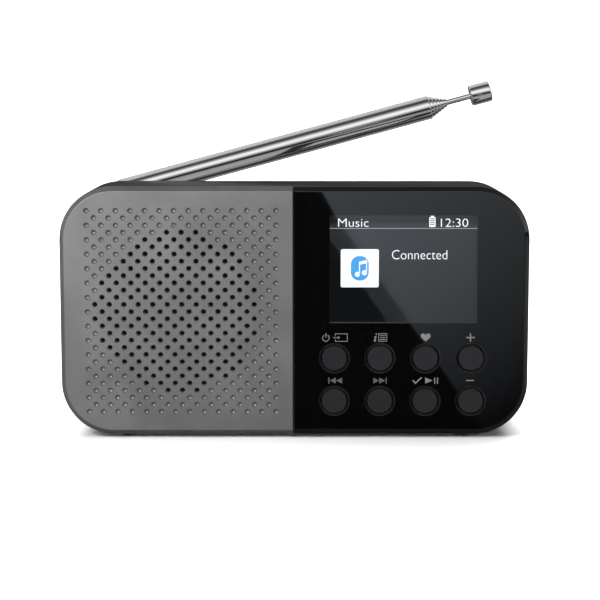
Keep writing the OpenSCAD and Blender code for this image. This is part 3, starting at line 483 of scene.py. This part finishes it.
grille_cover = cover_blank("grille_cover", -0.5 * MM, -75 * MM, 0.25 * MM)
hole_bit = drill("bit", 0.80 * MM, 0.93 * MM, -0.4 * MM, 0.13 * MM, 2.5 * MM)
cut_away(grille_cover, repeated("drills", hole_bit, drilled))
bowl_radius = 0.96 * MM
bowl_depth = 0.60 * MM
clear_selection()
bpy.ops.mesh.primitive_uv_sphere_add(segments=20, ring_count=12, radius=bowl_radius,
                                     location=(0, plate_y + bowl_depth - bowl_radius, 0),
                                     rotation=(math.radians(90), 0, 0))
cut_away(grille_cover, repeated("balls", settle(bpy.context.object), dimpled))
even_normals(grille_cover, 28.0)
grille_paint = moulded("grille_paint", (0.186, 0.186, 0.190), (0.248, 0.248, 0.252), 0.46, 6500.0, 0.8, 0.1,
                       metallic=0.9)
grille_cover.data.materials.append(grille_paint)
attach(grille_cover, "case")
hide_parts("grille_panel")

# A softbox that reaches only this plate gives the paint its brighter upper left corner.
painted_only = bpy.data.collections.new("painted_only")
painted_only.objects.link(grille_cover)
grille_light = softbox("grille_light", (-0.28, -0.50, 0.26), (-0.04, 0, 0.04), 0.3, 0.3, 2.45)
grille_light.light_linking.receiver_collection = painted_only


# ---------------------------------------------------------------------------
# Grille cloth. A disc of black acoustic scrim behind the drilled holes, woven
# square, so nothing of the driver shows from outside.
# ---------------------------------------------------------------------------
scrim = bpy.data.materials.new("scrim_black")
scrim.use_nodes = True
scrim_nodes = scrim.node_tree.nodes
place = scrim_nodes.new("ShaderNodeTexCoord")
threads = []
for direction in ("X", "Z"):
    wave = scrim_nodes.new("ShaderNodeTexWave")
    wave.bands_direction = direction
    dial(wave, {"Scale": 700.0, "Distortion": 0.4})
    wire(scrim.node_tree, (place.outputs["Object"], wave.inputs["Vector"]))
    threads.append(wave)
weave = scrim_nodes.new("ShaderNodeMath")
weave.operation = "MULTIPLY"
thread_colour = scrim_nodes.new("ShaderNodeMapRange")
dial(thread_colour, {"To Min": 0.001, "To Max": 0.008})
thread_relief = scrim_nodes.new("ShaderNodeBump")
dial(thread_relief, {"Distance": 0.0001})
scrim_shader = scrim_nodes["Principled BSDF"]
dial(scrim_shader, {"Roughness": 0.95})
wire(scrim.node_tree,
     (threads[0].outputs["Fac"], weave.inputs[0]), (threads[1].outputs["Fac"], weave.inputs[1]),
     (weave.outputs[0], thread_colour.inputs["Value"]),
     (thread_colour.outputs["Result"], scrim_shader.inputs["Base Color"]),
     (weave.outputs[0], thread_relief.inputs["Height"]),
     (thread_relief.outputs["Normal"], scrim_shader.inputs["Normal"]))
dress(scrim, "grille_cloth")


# ---------------------------------------------------------------------------
# Control cover. The right half of the front, moulded in gloss black acrylic
# with the same bevel, a window for the display and eight bevelled key holes.
# ---------------------------------------------------------------------------
control_x = 34.7 * MM
window_z = foot_lift + 53.6 * MM
window_w = 47.0 * MM
window_h = 34.5 * MM
key_pitch = 14.6            # between columns, in millimetres
key_rise = 13.9             # between rows
low_row = 11.1              # above the case's underside
key_places = [(control_x + (column - 1.5) * key_pitch * MM, foot_lift + (low_row + key_rise * (1 - row)) * MM)
              for row in range(2) for column in range(4)]

control_cover = cover_blank("control_cover", -0.3 * MM, 75 * MM, 0.4 * MM)
key_bit = drill("bit", 4.45 * MM, 4.95 * MM, -0.4 * MM, 0.5 * MM, 2.5 * MM, 72)
cut_away(control_cover, repeated("key_drills", key_bit, key_places))
clear_selection()
bpy.ops.mesh.primitive_cube_add(size=1.0, location=(control_x, plate_y + plate_thick / 2, window_z))
opening = bpy.context.object
opening.scale = (window_w, 0.01, window_h)
cut_away(control_cover, settle(opening))
even_normals(control_cover, 28.0)
gloss_black = moulded("gloss_black", (0.0010, 0.0010, 0.0011), (0.0015, 0.0015, 0.0016), 0.018, 400.0, 0.5,
                      0.0008, specular=1.0)
rim_satin = moulded("rim_satin", (0.016, 0.016, 0.017), (0.022, 0.022, 0.023), 0.45, 3000.0, 0.5, 0.1)
control_cover.data.materials.append(gloss_black)
control_cover.data.materials.append(rim_satin)
cover_points = control_cover.data.vertices
for face in control_cover.data.polygons:
    face.material_index = int(face.normal.y > -0.98 and any(
        all(math.hypot(cover_points[v].co.x - x, cover_points[v].co.z - z) < 5.0 * MM for v in face.vertices)
        for x, z in key_places))
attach(control_cover, "case")
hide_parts("control_panel")


# ---------------------------------------------------------------------------
# Display window. A clear acrylic pane set flush in the control cover, with
# polished faces.
# ---------------------------------------------------------------------------
clear_selection()
bpy.ops.mesh.primitive_cube_add(size=1.0, location=(control_x, plate_y + plate_thick / 2, window_z))
window = bpy.context.object
window.name = "display_pane"
window.scale = (window_w - 0.02 * MM, plate_thick, window_h - 0.02 * MM)
settle(window)
bpy.ops.object.mode_set(mode="EDIT")
bpy.ops.mesh.select_mode(type="EDGE")
bpy.ops.mesh.select_all(action="SELECT")
bpy.ops.mesh.bevel(offset=0.02 * MM, segments=2, affect="EDGES")
bpy.ops.object.mode_set(mode="OBJECT")
clear_acrylic = bpy.data.materials.new("clear_acrylic")
clear_acrylic.use_nodes = True
acrylic = clear_acrylic.node_tree.nodes["Principled BSDF"]
dial(acrylic, {"Base Color": (0.93, 0.95, 0.97, 1), "Transmission Weight": 1.0, "IOR": 1.49})
place = clear_acrylic.node_tree.nodes.new("ShaderNodeTexCoord")
haze = clear_acrylic.node_tree.nodes.new("ShaderNodeTexNoise")
dial(haze, {"Scale": 90.0})
haze_range = clear_acrylic.node_tree.nodes.new("ShaderNodeMapRange")
dial(haze_range, {"To Min": 0.0, "To Max": 0.03})
wire(clear_acrylic.node_tree,
     (place.outputs["Object"], haze.inputs["Vector"]), (haze.outputs["Fac"], haze_range.inputs["Value"]),
     (haze_range.outputs["Result"], acrylic.inputs["Roughness"]))
window.data.materials.append(clear_acrylic)
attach(window, "case")
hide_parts("display_window")


# ---------------------------------------------------------------------------
# Display module. A backlit colour panel with a black border behind the pane.
# Its picture is a status strip with a title, a battery and the time, and a
# pale tile with a note beside the word that says the source is ready.
# ---------------------------------------------------------------------------
def flat_shape(name, loops, depth, material):
    """A flat figure on a plane facing the front, from closed loops of (x, z) in millimetres."""
    outline = bpy.data.curves.new(name, "CURVE")
    outline.dimensions = "2D"
    outline.fill_mode = "BOTH"
    for loop in loops:
        spline = outline.splines.new("POLY")
        spline.points.add(len(loop) - 1)
        for point, (x, z) in zip(spline.points, loop):
            point.co = (x * MM, z * MM + foot_lift, 0, 1)
        spline.use_cyclic_u = True
    figure = bpy.data.objects.new(name, outline)
    scene.collection.objects.link(figure)
    return settle_flat(figure, depth, material)


def settle_flat(figure, depth, material):
    """Make a flat curve or word a mesh, stand it up this far behind the front face and ride it."""
    hold(figure)
    bpy.ops.object.convert(target="MESH")
    figure = bpy.context.object
    figure.location = (0, plate_y + depth * MM, 0)
    figure.rotation_euler = (math.radians(90), 0, 0)
    settle(figure)
    figure.data.materials.clear()
    figure.data.materials.append(material)
    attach(figure, "case")
    return figure


def fitted_word(name, word, left, low, right, high, depth, material):
    """A word squeezed into a box given in millimetres."""
    letters = bpy.data.curves.new(name, "FONT")
    letters.body = word
    letters.resolution_u = 4
    letters.offset = -0.012
    figure = bpy.data.objects.new(name, letters)
    scene.collection.objects.link(figure)
    hold(figure)
    bpy.ops.object.convert(target="MESH")
    figure = bpy.context.object
    xs = [v.co.x for v in figure.data.vertices]
    ys = [v.co.y for v in figure.data.vertices]
    wide = (right - left) * MM / (max(xs) - min(xs))
    tall = (high - low) * MM / (max(ys) - min(ys))
    shift = Matrix.Translation((left * MM - min(xs) * wide, low * MM + foot_lift - min(ys) * tall, 0))
    figure.data.transform(shift @ Matrix.Diagonal((wide, tall, 1, 1)))
    return settle_flat(figure, depth, material)


def round_point(x, z, radius, degrees):
    return x + radius * math.cos(math.radians(degrees)), z + radius * math.sin(math.radians(degrees))


def disc(x, z, radius, count):
    return [round_point(x, z, radius, 360.0 * k / count) for k in range(count)]


def rounded_box(left, low, right, high, radius, steps=6):
    points = []
    for cx, cz, start in ((right - radius, high - radius, 0), (left + radius, high - radius, 90),
                          (left + radius, low + radius, 180), (right - radius, low + radius, 270)):
        points += [round_point(cx, cz, radius, start + 90 * k / steps) for k in range(steps + 1)]
    return points


def box_loop(left, low, right, high):
    return [(left, low), (right, low), (right, high), (left, high)]


def lit_colour(name, colour, strength):
    """A backlit colour of the display: fine cells of light over a dark, glossy sheet."""
    material = bpy.data.materials.new(name)
    material.use_nodes = True
    nodes = material.node_tree.nodes
    shader = nodes["Principled BSDF"]
    dial(shader, {"Base Color": (0.002, 0.002, 0.0025, 1), "Roughness": 0.04, "Specular IOR Level": 1.0,
                  "Emission Strength": strength})
    where = nodes.new("ShaderNodeTexCoord")
    cells = nodes.new("ShaderNodeTexVoronoi")
    cells.distance = "CHEBYCHEV"
    dial(cells, {"Scale": 6800.0, "Randomness": 0.0})
    level = nodes.new("ShaderNodeMapRange")
    dial(level, {"From Max": 0.6, "To Min": 1.04, "To Max": 0.94})
    lit = nodes.new("ShaderNodeVectorMath")
    lit.operation = "SCALE"
    lit.inputs[0].default_value = colour
    wire(material.node_tree,
         (where.outputs["Object"], cells.inputs["Vector"]),
         (cells.outputs["Distance"], level.inputs["Value"]),
         (level.outputs["Result"], lit.inputs["Scale"]),
         (lit.outputs["Vector"], shader.inputs["Emission Color"]))
    return material


screen_black = moulded("screen_black", (0.003, 0.003, 0.0035), (0.004, 0.004, 0.0045),
                       0.12, 800.0, 0.5, 0.004)
dress(screen_black, "display_glass")
face_depth = 2.28           # behind the front face; the picture's layers stand just off the glass
print_depth = face_depth - 0.02
screen_dim = lit_colour("screen_dim", (0.0042, 0.0048, 0.0056), 1.0)
screen_strip = lit_colour("screen_strip", (0.008, 0.0085, 0.009), 1.0)
screen_white = lit_colour("screen_white", (0.95, 0.97, 1.0), 1.35)
screen_line = lit_colour("screen_line", (0.42, 0.43, 0.44), 1.0)
screen_tile = lit_colour("screen_tile", (1.0, 1.0, 1.0), 1.3)
screen_blue = lit_colour("screen_blue", (0.075, 0.44, 0.95), 1.05)
picture = [
    flat_shape("screen_field", [box_loop(11.2, 36.35, 58.2, 66.5)], face_depth, screen_dim),
    flat_shape("screen_strip", [box_loop(11.2, 66.7, 58.2, 70.85)], face_depth, screen_strip),
    flat_shape("screen_rule", [box_loop(11.2, 66.5, 58.2, 66.7)], face_depth, screen_line),
    fitted_word("screen_title", "Music", 13.9, 67.1, 23.6, 69.75, print_depth, screen_white),
    fitted_word("screen_clock", "12:30", 46.6, 67.1, 55.3, 69.75, print_depth, screen_white),
    fitted_word("screen_source", "Connected", 31.1, 56.7, 48.75, 59.7, print_depth, screen_white),
    flat_shape("screen_battery",
               [rounded_box(42.9, 67.05, 44.9, 70.2, 0.25), box_loop(43.4, 70.25, 44.4, 70.6)]
               + [box_loop(43.15, 67.62 + step * 0.62, 44.65, 67.92 + step * 0.62) for step in range(4)],
               print_depth, screen_white),
    flat_shape("screen_tile", [rounded_box(14.77, 47.7, 26.91, 59.97, 0.55)], print_depth, screen_tile),
    flat_shape("screen_badge", [rounded_box(18.02, 49.9, 23.71, 57.76, 2.6, 10)], face_depth - 0.04,
               screen_blue),
    flat_shape("screen_note", [disc(20.1, 51.9, 0.82, 24), disc(22.35, 52.4, 0.82, 24),
                               [(20.62, 51.9), (20.92, 51.9), (20.92, 55.0), (22.87, 55.45), (22.87, 52.4),
                                (23.17, 52.4), (23.17, 56.5), (20.62, 55.95)]],
               face_depth - 0.06, screen_tile),
]

tray_white = moulded("tray_white", (0.72, 0.72, 0.69), (0.64, 0.64, 0.61), 0.5, 2500.0, 0.6)
dress(tray_white, "display_tray", "board_connectors")
film_amber = moulded("film_amber", (0.42, 0.17, 0.035), (0.33, 0.12, 0.02), 0.3, 1500.0, 0.7, 0.03)
dress(film_amber, "display_ribbon")


# ---------------------------------------------------------------------------
# Marks over the keys. Grey screen-printed signs on the gloss cover: power and
# input, information and list, a heart, plus, back, forward, confirm with play
# and pause, and minus.
# ---------------------------------------------------------------------------
mark_grey = moulded("mark_grey", (0.18, 0.18, 0.185), (0.15, 0.15, 0.155), 0.55, 5000.0, 0.5, 0.05)
mark_dim = moulded("mark_dim", (0.085, 0.085, 0.09), (0.07, 0.07, 0.075), 0.55, 5000.0, 0.5, 0.05)


def ring_sector(x, z, outer, inner, start, stop, count=24):
    step = (stop - start) / count
    return ([round_point(x, z, outer, start + step * k) for k in range(count + 1)]
            + [round_point(x, z, inner, stop - step * k) for k in range(count + 1)])


def framed(left, low, right, high, line):
    return [box_loop(left, low, right, high), box_loop(left + line, low + line, right - line, high - line)]


heart_x, heart_z = 42.0, 31.86
heart_loop = []
for step in range(48):
    t = 2 * math.pi * step / 48
    rise = 13 * math.cos(t) - 5 * math.cos(2 * t) - 2 * math.cos(3 * t) - math.cos(4 * t)
    heart_loop.append((heart_x + 1.58 * math.sin(t) ** 3, heart_z + rise * 0.097))
marks = {
    "mark_power": [ring_sector(10.05, 31.55, 1.18, 0.94, 122, 418), box_loop(9.93, 31.6, 10.17, 33.1)],
    "mark_input": [[(13.0, 30.35), (17.0, 30.35), (17.0, 33.0), (13.0, 33.0), (13.0, 32.2), (13.2, 32.2),
                    (13.2, 32.8), (16.8, 32.8), (16.8, 30.55), (13.2, 30.55), (13.2, 31.15), (13.0, 31.15)],
                   [(12.3, 31.58), (13.95, 31.58), (13.95, 31.25), (14.6, 31.68), (13.95, 32.1),
                    (13.95, 31.78), (12.3, 31.78)]],
    "mark_info": [[(25.35, 30.4), (26.1, 30.4), (26.0, 30.72), (25.9, 30.72), (26.28, 32.1), (25.6, 32.1),
                   (25.55, 31.82), (25.75, 31.82), (25.45, 30.72)],
                  disc(26.2, 32.82, 0.26, 16)],
    "mark_list": framed(26.85, 30.4, 29.62, 33.05, 0.2) + [box_loop(27.35, 30.98, 29.12, 31.2),
                                                            box_loop(27.35, 31.62, 29.12, 31.84),
                                                            box_loop(27.35, 32.26, 29.12, 32.48)],
    "mark_heart": [heart_loop],
    "mark_plus": [[(55.0, 31.5), (56.14, 31.5), (56.14, 30.35), (56.54, 30.35), (56.54, 31.5), (57.7, 31.5),
                   (57.7, 31.9), (56.54, 31.9), (56.54, 33.05), (56.14, 33.05), (56.14, 31.9), (55.0, 31.9)]],
    "mark_previous": [box_loop(10.85, 16.75, 11.2, 18.7), [(13.25, 16.75), (13.25, 18.7), (11.3, 17.72)],
                      [(15.3, 16.75), (15.3, 18.7), (13.35, 17.72)]],
    "mark_next": [box_loop(29.25, 16.75, 29.6, 18.7), [(27.2, 16.75), (27.2, 18.7), (29.15, 17.72)],
                  [(25.3, 16.75), (25.3, 18.7), (27.1, 17.72)]],
    "mark_select": [[(37.8, 17.75), (38.12, 18.0), (38.83, 17.15), (40.68, 18.9), (40.95, 18.62),
                     (38.83, 16.55)],
                    [(41.95, 16.75), (44.4, 17.73), (41.95, 18.7)], box_loop(44.85, 16.7, 45.2, 18.7),
                    box_loop(45.75, 16.7, 46.1, 18.7)],
    "mark_minus": [box_loop(55.1, 17.55, 57.6, 17.93)],
}
for name, loops in marks.items():
    ink = mark_dim if name in ("mark_previous", "mark_next") else mark_grey
    flat_shape(name, loops, -0.015, ink)


# ---------------------------------------------------------------------------
# Keys. Eight round caps of satin grey ABS, each with a rounded rim, a faint
# hollow for the finger, a flange that keeps it behind the cover and a stem.
# ---------------------------------------------------------------------------
key_grey = moulded("key_grey", (0.012, 0.0115, 0.014), (0.016, 0.0155, 0.018), 0.55, 4200.0, 0.6, 0.12,
                   specular=0.3)
cap_radius = 4.0            # of the round cap, its flange and its stem, in millimetres
flange_radius = 5.2
stem_radius = 1.5
cap_proud = 0.5             # the cap stands this far out of the cover
cap_deep = 4.15             # and reaches this far in


def key_cap(name, x, z):
    front = plate_y - cap_proud * MM
    back = plate_y + cap_deep * MM
    clear_selection()
    bpy.ops.mesh.primitive_cylinder_add(vertices=72, radius=cap_radius * MM, depth=back - front,
                                        end_fill_type="NGON", location=(x, (front + back) / 2, z),
                                        rotation=(math.radians(90), 0, 0))
    cap = settle(bpy.context.object)
    cap.name = name
    bpy.ops.object.mode_set(mode="EDIT")
    pick(cap, "EDGE", lambda edge: all(abs(v.co.y - front) < 1e-6 for v in edge.verts))
    bpy.ops.mesh.bevel(offset=0.34 * MM, segments=5, affect="EDGES")
    pick(cap, "FACE", lambda face: all(abs(v.co.y - front) < 1e-6 for v in face.verts))
    bpy.ops.mesh.inset(thickness=0.5 * MM)
    bpy.ops.transform.translate(value=(0, 0.03 * MM, 0))
    for inset, sink in ((0.9 * MM, 0.045 * MM), (1.1 * MM, 0.03 * MM)):
        bpy.ops.mesh.inset(thickness=inset)
        bpy.ops.transform.translate(value=(0, sink, 0))
    pick(cap, "FACE", lambda face: all(abs(v.co.y - back) < 1e-6 for v in face.verts))
    for step, scale in ((0.0, flange_radius / cap_radius), (1.0 * MM, 1.0),
                        (0.0, stem_radius / flange_radius), (0.2 * MM, 1.0)):
        bpy.ops.mesh.extrude_region_move(TRANSFORM_OT_translate={"value": (0, step, 0)})
        bpy.ops.transform.resize(value=(scale, 1, scale), center_override=(x, 0, z))
    bpy.ops.object.mode_set(mode="OBJECT")
    even_normals(cap, 40.0)
    cap.data.materials.append(key_grey)
    return cap


key_names = ("power", "info", "favourite", "volume_up", "previous", "next", "select", "volume_down")
for label, (x, z) in zip(key_names, key_places):
    cap = key_cap("key_cap_" + label, x, z)
    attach(cap, "button_" + label)
    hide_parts("key_" + label)


# ---------------------------------------------------------------------------
# Loudspeaker. A round full-range driver: enamelled steel basket, rubber
# surround, pressed paper cone and cap, ferrite ring magnet between plated steel
# plates, a resin-dipped spider and a copper coil.
# ---------------------------------------------------------------------------
basket_enamel = moulded("basket_enamel", (0.02, 0.02, 0.022), (0.03, 0.03, 0.032), 0.35, 2000.0, 0.6, 0.05)
soft_rubber = moulded("soft_rubber", (0.012, 0.012, 0.012), (0.02, 0.02, 0.02), 0.75, 3500.0, 0.7, 0.2)
pressed_paper = moulded("pressed_paper", (0.02, 0.019, 0.018), (0.04, 0.038, 0.036), 0.9, 1800.0, 0.8, 0.5)
ferrite = moulded("ferrite", (0.045, 0.045, 0.048), (0.075, 0.075, 0.078), 0.6, 1500.0, 0.8, 0.3)
zinc_plate = moulded("zinc_plate", (0.55, 0.56, 0.57), (0.46, 0.47, 0.49),
                     0.3, 2500.0, 0.8, 0.06, metallic=1.0)
coil_copper = moulded("coil_copper", (0.65, 0.28, 0.12), (0.5, 0.2, 0.08),
                      0.3, 6000.0, 0.8, 0.1, metallic=1.0)
dipped_cloth = moulded("dipped_cloth", (0.48, 0.30, 0.10), (0.36, 0.21, 0.06), 0.8, 2600.0, 0.9, 0.6)
brass = moulded("brass", (0.72, 0.52, 0.2), (0.6, 0.42, 0.15), 0.28, 2500.0, 0.8, 0.05, metallic=1.0)
dress(basket_enamel, "driver_basket")
dress(soft_rubber, "driver_surround", "driver_gasket")
dress(pressed_paper, "driver_cone", "driver_dust_cap")
dress(ferrite, "driver_magnet")
dress(zinc_plate, "driver_top_plate", "driver_yoke", "driver_screws")
dress(coil_copper, "driver_voice_coil")
dress(dipped_cloth, "driver_spider")
dress(brass, "driver_terminals")


# ---------------------------------------------------------------------------
# Boards. A main board behind the display and a small port board on the back,
# both green glass-epoxy, with a shielded tuner, black chips, sleeved
# capacitors, white connectors and eight tact switches.
# ---------------------------------------------------------------------------
solder_mask = moulded("solder_mask", (0.012, 0.11, 0.035), (0.02, 0.15, 0.05),
                      0.28, 900.0, 0.8, 0.08, coat=0.4)
chip_epoxy = moulded("chip_epoxy", (0.014, 0.014, 0.015), (0.022, 0.022, 0.023), 0.55, 3000.0, 0.7, 0.2)
sleeve_blue = moulded("sleeve_blue", (0.02, 0.045, 0.15), (0.015, 0.03, 0.11), 0.3, 1200.0, 0.6, 0.03)
dress(solder_mask, "main_board", "port_board")
dress(chip_epoxy, "board_chips", "tact_switches")
dress(sleeve_blue, "board_capacitors")
dress(zinc_plate, "tuner_module", "board_screws", "port_screws", "case_screws")


# ---------------------------------------------------------------------------
# Ports. A black headphone socket and a plated USB shell, soldered to the port
# board, both flush with a shallow field in the back.
# ---------------------------------------------------------------------------
socket_black = moulded("socket_black", (0.012, 0.012, 0.013), (0.018, 0.018, 0.019), 0.4, 3000.0, 0.6, 0.1)
jack = softened_copy("headphone_socket", "headphone_jack_body", 0.0002)
jack.data.materials.append(socket_black)
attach(jack, "case")
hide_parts("headphone_socket")
usb_shell = softened_copy("usb_socket", "usb_shell", 0.00008)
usb_shell.data.materials.append(zinc_plate)
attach(usb_shell, "case")
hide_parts("usb_socket")


# ---------------------------------------------------------------------------
# Battery. One sleeved lithium cell in a well behind a screwed door, held by a
# plated coil spring at one end and a plate contact at the other.
# ---------------------------------------------------------------------------
cell_sleeve = moulded("cell_sleeve", (0.015, 0.16, 0.30), (0.01, 0.13, 0.25),
                      0.22, 900.0, 0.6, 0.03, coat=0.3)
dress(cell_sleeve, "battery_cell")
dress(zinc_plate, "battery_spring", "battery_contacts")
door = softened_copy("battery_door", "battery_door_moulding", 0.0002)
door.data.materials.append(case_black)
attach(door, "door")
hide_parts("battery_door")
dress(zinc_plate, "door_screw")


# ---------------------------------------------------------------------------
# Leads. Thin stranded wires in soft insulation: red pairs for the driver and
# the battery, a black one from the aerial's foot to the tuner.
# ---------------------------------------------------------------------------
insulation_red = moulded("insulation_red", (0.40, 0.012, 0.012), (0.33, 0.01, 0.01), 0.42, 2000.0, 0.6, 0.05)
insulation_black = moulded("insulation_black", (0.012, 0.012, 0.012), (0.018, 0.018, 0.018),
                           0.45, 2000.0, 0.6, 0.05)
dress(insulation_red, "driver_lead", "battery_lead")
dress(insulation_black, "aerial_lead")


# ---------------------------------------------------------------------------
# Aerial. Seven chromed brass tubes, each drawn through the rolled lip of the
# one outside it, on a forked swivel that turns in the floor of the channel.
# The innermost is a solid rod with a turned cap.
# ---------------------------------------------------------------------------
lift = math.radians(15.2)                                # the mast's slope at rest
pivot = Vector((-62.8, -19.25 + 34.5, 76.0)) * MM         # the pin in the fork

# Chrome with faint lines along the draw and a light haze of handling.
chrome = bpy.data.materials.new("aerial_chrome")
chrome.use_nodes = True
chrome_nodes = chrome.node_tree.nodes
chrome_shader = chrome_nodes["Principled BSDF"]
dial(chrome_shader, {"Metallic": 1.0})
place = chrome_nodes.new("ShaderNodeTexCoord")
turn = chrome_nodes.new("ShaderNodeMapping")
dial(turn, {"Rotation": (0, lift, 0), "Scale": (40.0, 2600.0, 2600.0)})
draw_lines = chrome_nodes.new("ShaderNodeTexNoise")
dial(draw_lines, {"Scale": 1.0, "Detail": 3.0})
chrome_rough = chrome_nodes.new("ShaderNodeMapRange")
dial(chrome_rough, {"To Min": 0.05, "To Max": 0.16})
smudge = chrome_nodes.new("ShaderNodeTexNoise")
dial(smudge, {"Scale": 120.0})
smudge_tint = chrome_nodes.new("ShaderNodeMix")
smudge_tint.data_type = "RGBA"
dial(smudge_tint, {6: (0.90, 0.90, 0.91, 1), 7: (0.80, 0.80, 0.82, 1)})
wire(chrome.node_tree,
     (place.outputs["Object"], turn.inputs["Vector"]), (turn.outputs["Vector"], draw_lines.inputs["Vector"]),
     (draw_lines.outputs["Fac"], chrome_rough.inputs["Value"]),
     (chrome_rough.outputs["Result"], chrome_shader.inputs["Roughness"]),
     (place.outputs["Object"], smudge.inputs["Vector"]), (smudge.outputs["Fac"], smudge_tint.inputs[0]),
     (smudge_tint.outputs[2], chrome_shader.inputs["Base Color"]))


def turned_along_mast(name, profile, sides=64):
    """A lathe-turned part on the mast's axis, from (distance from the pin, radius) in millimetres."""
    clear_selection()
    start, radius = profile[0]
    bpy.ops.mesh.primitive_circle_add(vertices=sides, radius=radius * MM, fill_type="NGON",
                                      location=(start * MM, 0, 0), rotation=(0, math.radians(90), 0))
    part = settle(bpy.context.object)
    part.name = name
    bpy.ops.object.mode_set(mode="EDIT")
    bpy.ops.mesh.select_all(action="SELECT")
    for distance, next_radius in profile[1:]:
        growth = next_radius / radius
        bpy.ops.mesh.extrude_region_move(TRANSFORM_OT_translate={"value": ((distance - start) * MM, 0, 0)})
        bpy.ops.transform.resize(value=(1, growth, growth), center_override=(0, 0, 0))
        start, radius = distance, next_radius
    bpy.ops.mesh.select_all(action="SELECT")
    bpy.ops.mesh.normals_make_consistent(inside=False)
    bpy.ops.object.mode_set(mode="OBJECT")
    part.rotation_euler = (0, -lift, 0)
    part.location = pivot
    settle(part)
    bpy.ops.object.shade_smooth_by_angle(angle=math.radians(38))
    part.data.materials.append(chrome)
    return part


tubes = 6
tube_wall = 0.35            # millimetres, as are the tubes' other sizes
tube_slip = 0.06
tube_end = 112              # of the outermost tube; each next one stands out by tube_step
tube_step = 1.15
outer_foot = 4.45           # the outermost tube starts here, past the tongue that the pin goes through
inner_foot = 9.9
foot_step = 0.8
rod_reach = 8               # the rod stands out of the last tube this far


def tube_radius(section):
    return 4.0 - (section - 1) * 0.5


def tube_profile(section, foot, end):
    """A tube with a rolled lip at its end; all but the outermost have a swollen collar at the foot."""
    radius = tube_radius(section)
    bore = radius - tube_wall
    lip = tube_radius(section + 1) + tube_slip
    if section > 1:
        swell = tube_radius(section - 1) - tube_wall - tube_slip
        profile = [(foot, swell - 0.12), (foot + 0.12, swell), (foot + 5.7, swell), (foot + 6.0, radius)]
    else:
        profile = [(foot, radius - 0.25), (foot + 0.07, radius - 0.07), (foot + 0.25, radius)]
    return profile + [(end - 0.42, radius), (end - 0.30, radius - 0.02), (end - 0.14, radius - 0.09),
                      (end - 0.04, radius - 0.2), (end, radius - 0.34), (end - 0.02, lip), (end - 0.9, lip),
                      (end - 1.0, bore), (foot + 5.5, bore)]


for section in range(1, tubes + 1):
    foot = outer_foot if section == 1 else inner_foot + (section - 1) * foot_step
    end = tube_end + (section - 1) * tube_step
    tube = turned_along_mast("mast_tube_%d" % section, tube_profile(section, foot, end))
    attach(tube, "mast_%d" % section)
    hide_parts("aerial_section_%d" % section)

rod_end = tube_end + (tubes - 1) * tube_step + rod_reach
rod_profile = [(14.7, 1.0), (14.8, 1.06), (20.6, 1.06), (20.8, 1.0), (rod_end + 0.1, 1.0)]
rod = turned_along_mast("mast_rod", rod_profile, 40)
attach(rod, "mast_7")
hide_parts("aerial_rod")
cap_profile = [(0, 1.2), (0, 2.9), (0.1, 3.2), (0.3, 3.42), (0.6, 3.5), (6.5, 3.5), (6.8, 3.42), (7.0, 3.2),
               (7.1, 2.9), (7.1, 2.5), (6.9, 2.2), (6.85, 1.0)]
cap = turned_along_mast("mast_cap", [(rod_end + along, radius) for along, radius in cap_profile])
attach(cap, "mast_7")

# The outermost tube's flattened tongue, which the pin goes through, keeps its modelled shape.
tongue_end = 6.2
mast_way = Vector((math.cos(lift), 0, math.sin(lift)))
tongue = softened_copy("aerial_section_1", "mast_tongue", 0.00015)
hold(tongue)
bpy.ops.object.mode_set(mode="EDIT")
bpy.ops.mesh.select_all(action="SELECT")
bpy.ops.mesh.bisect(plane_co=pivot + mast_way * tongue_end * MM, plane_no=mast_way, clear_outer=True,
                    use_fill=True)
bpy.ops.object.mode_set(mode="OBJECT")
tongue.data.materials.append(chrome)
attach(tongue, "mast_1")

fork = softened_copy("aerial_swivel", "aerial_fork", 0.00025, 3)
fork.data.materials.append(chrome)
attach(fork, "aerial_base")
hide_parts("aerial_swivel")
dress(zinc_plate, "aerial_pin")
dress(brass, "aerial_bracket")

# The chrome shows the studio round it, so the black case and what it holds are kept out of
# what it mirrors. The keys and their cover stay, which keeps the gaps round the keys dark.
mirrored = ("mast_", "aerial_", "reflector", "control_", "key_")
for piece in scene.objects:
    if piece.type == "MESH" and not piece.name.startswith(mirrored):
        piece.visible_glossy = False


# ---------------------------------------------------------------------------
# Feet. Four soft rubber buttons pressed into pockets in the underside, with a
# rounded wearing edge.
# ---------------------------------------------------------------------------
foot_rubber = moulded("foot_rubber", (0.014, 0.014, 0.014), (0.022, 0.022, 0.022), 0.8, 3000.0, 0.8, 0.3)
feet = softened_copy("feet", "rubber_feet", 0.00012)
feet.data.materials.append(foot_rubber)
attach(feet, "case")
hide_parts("feet")
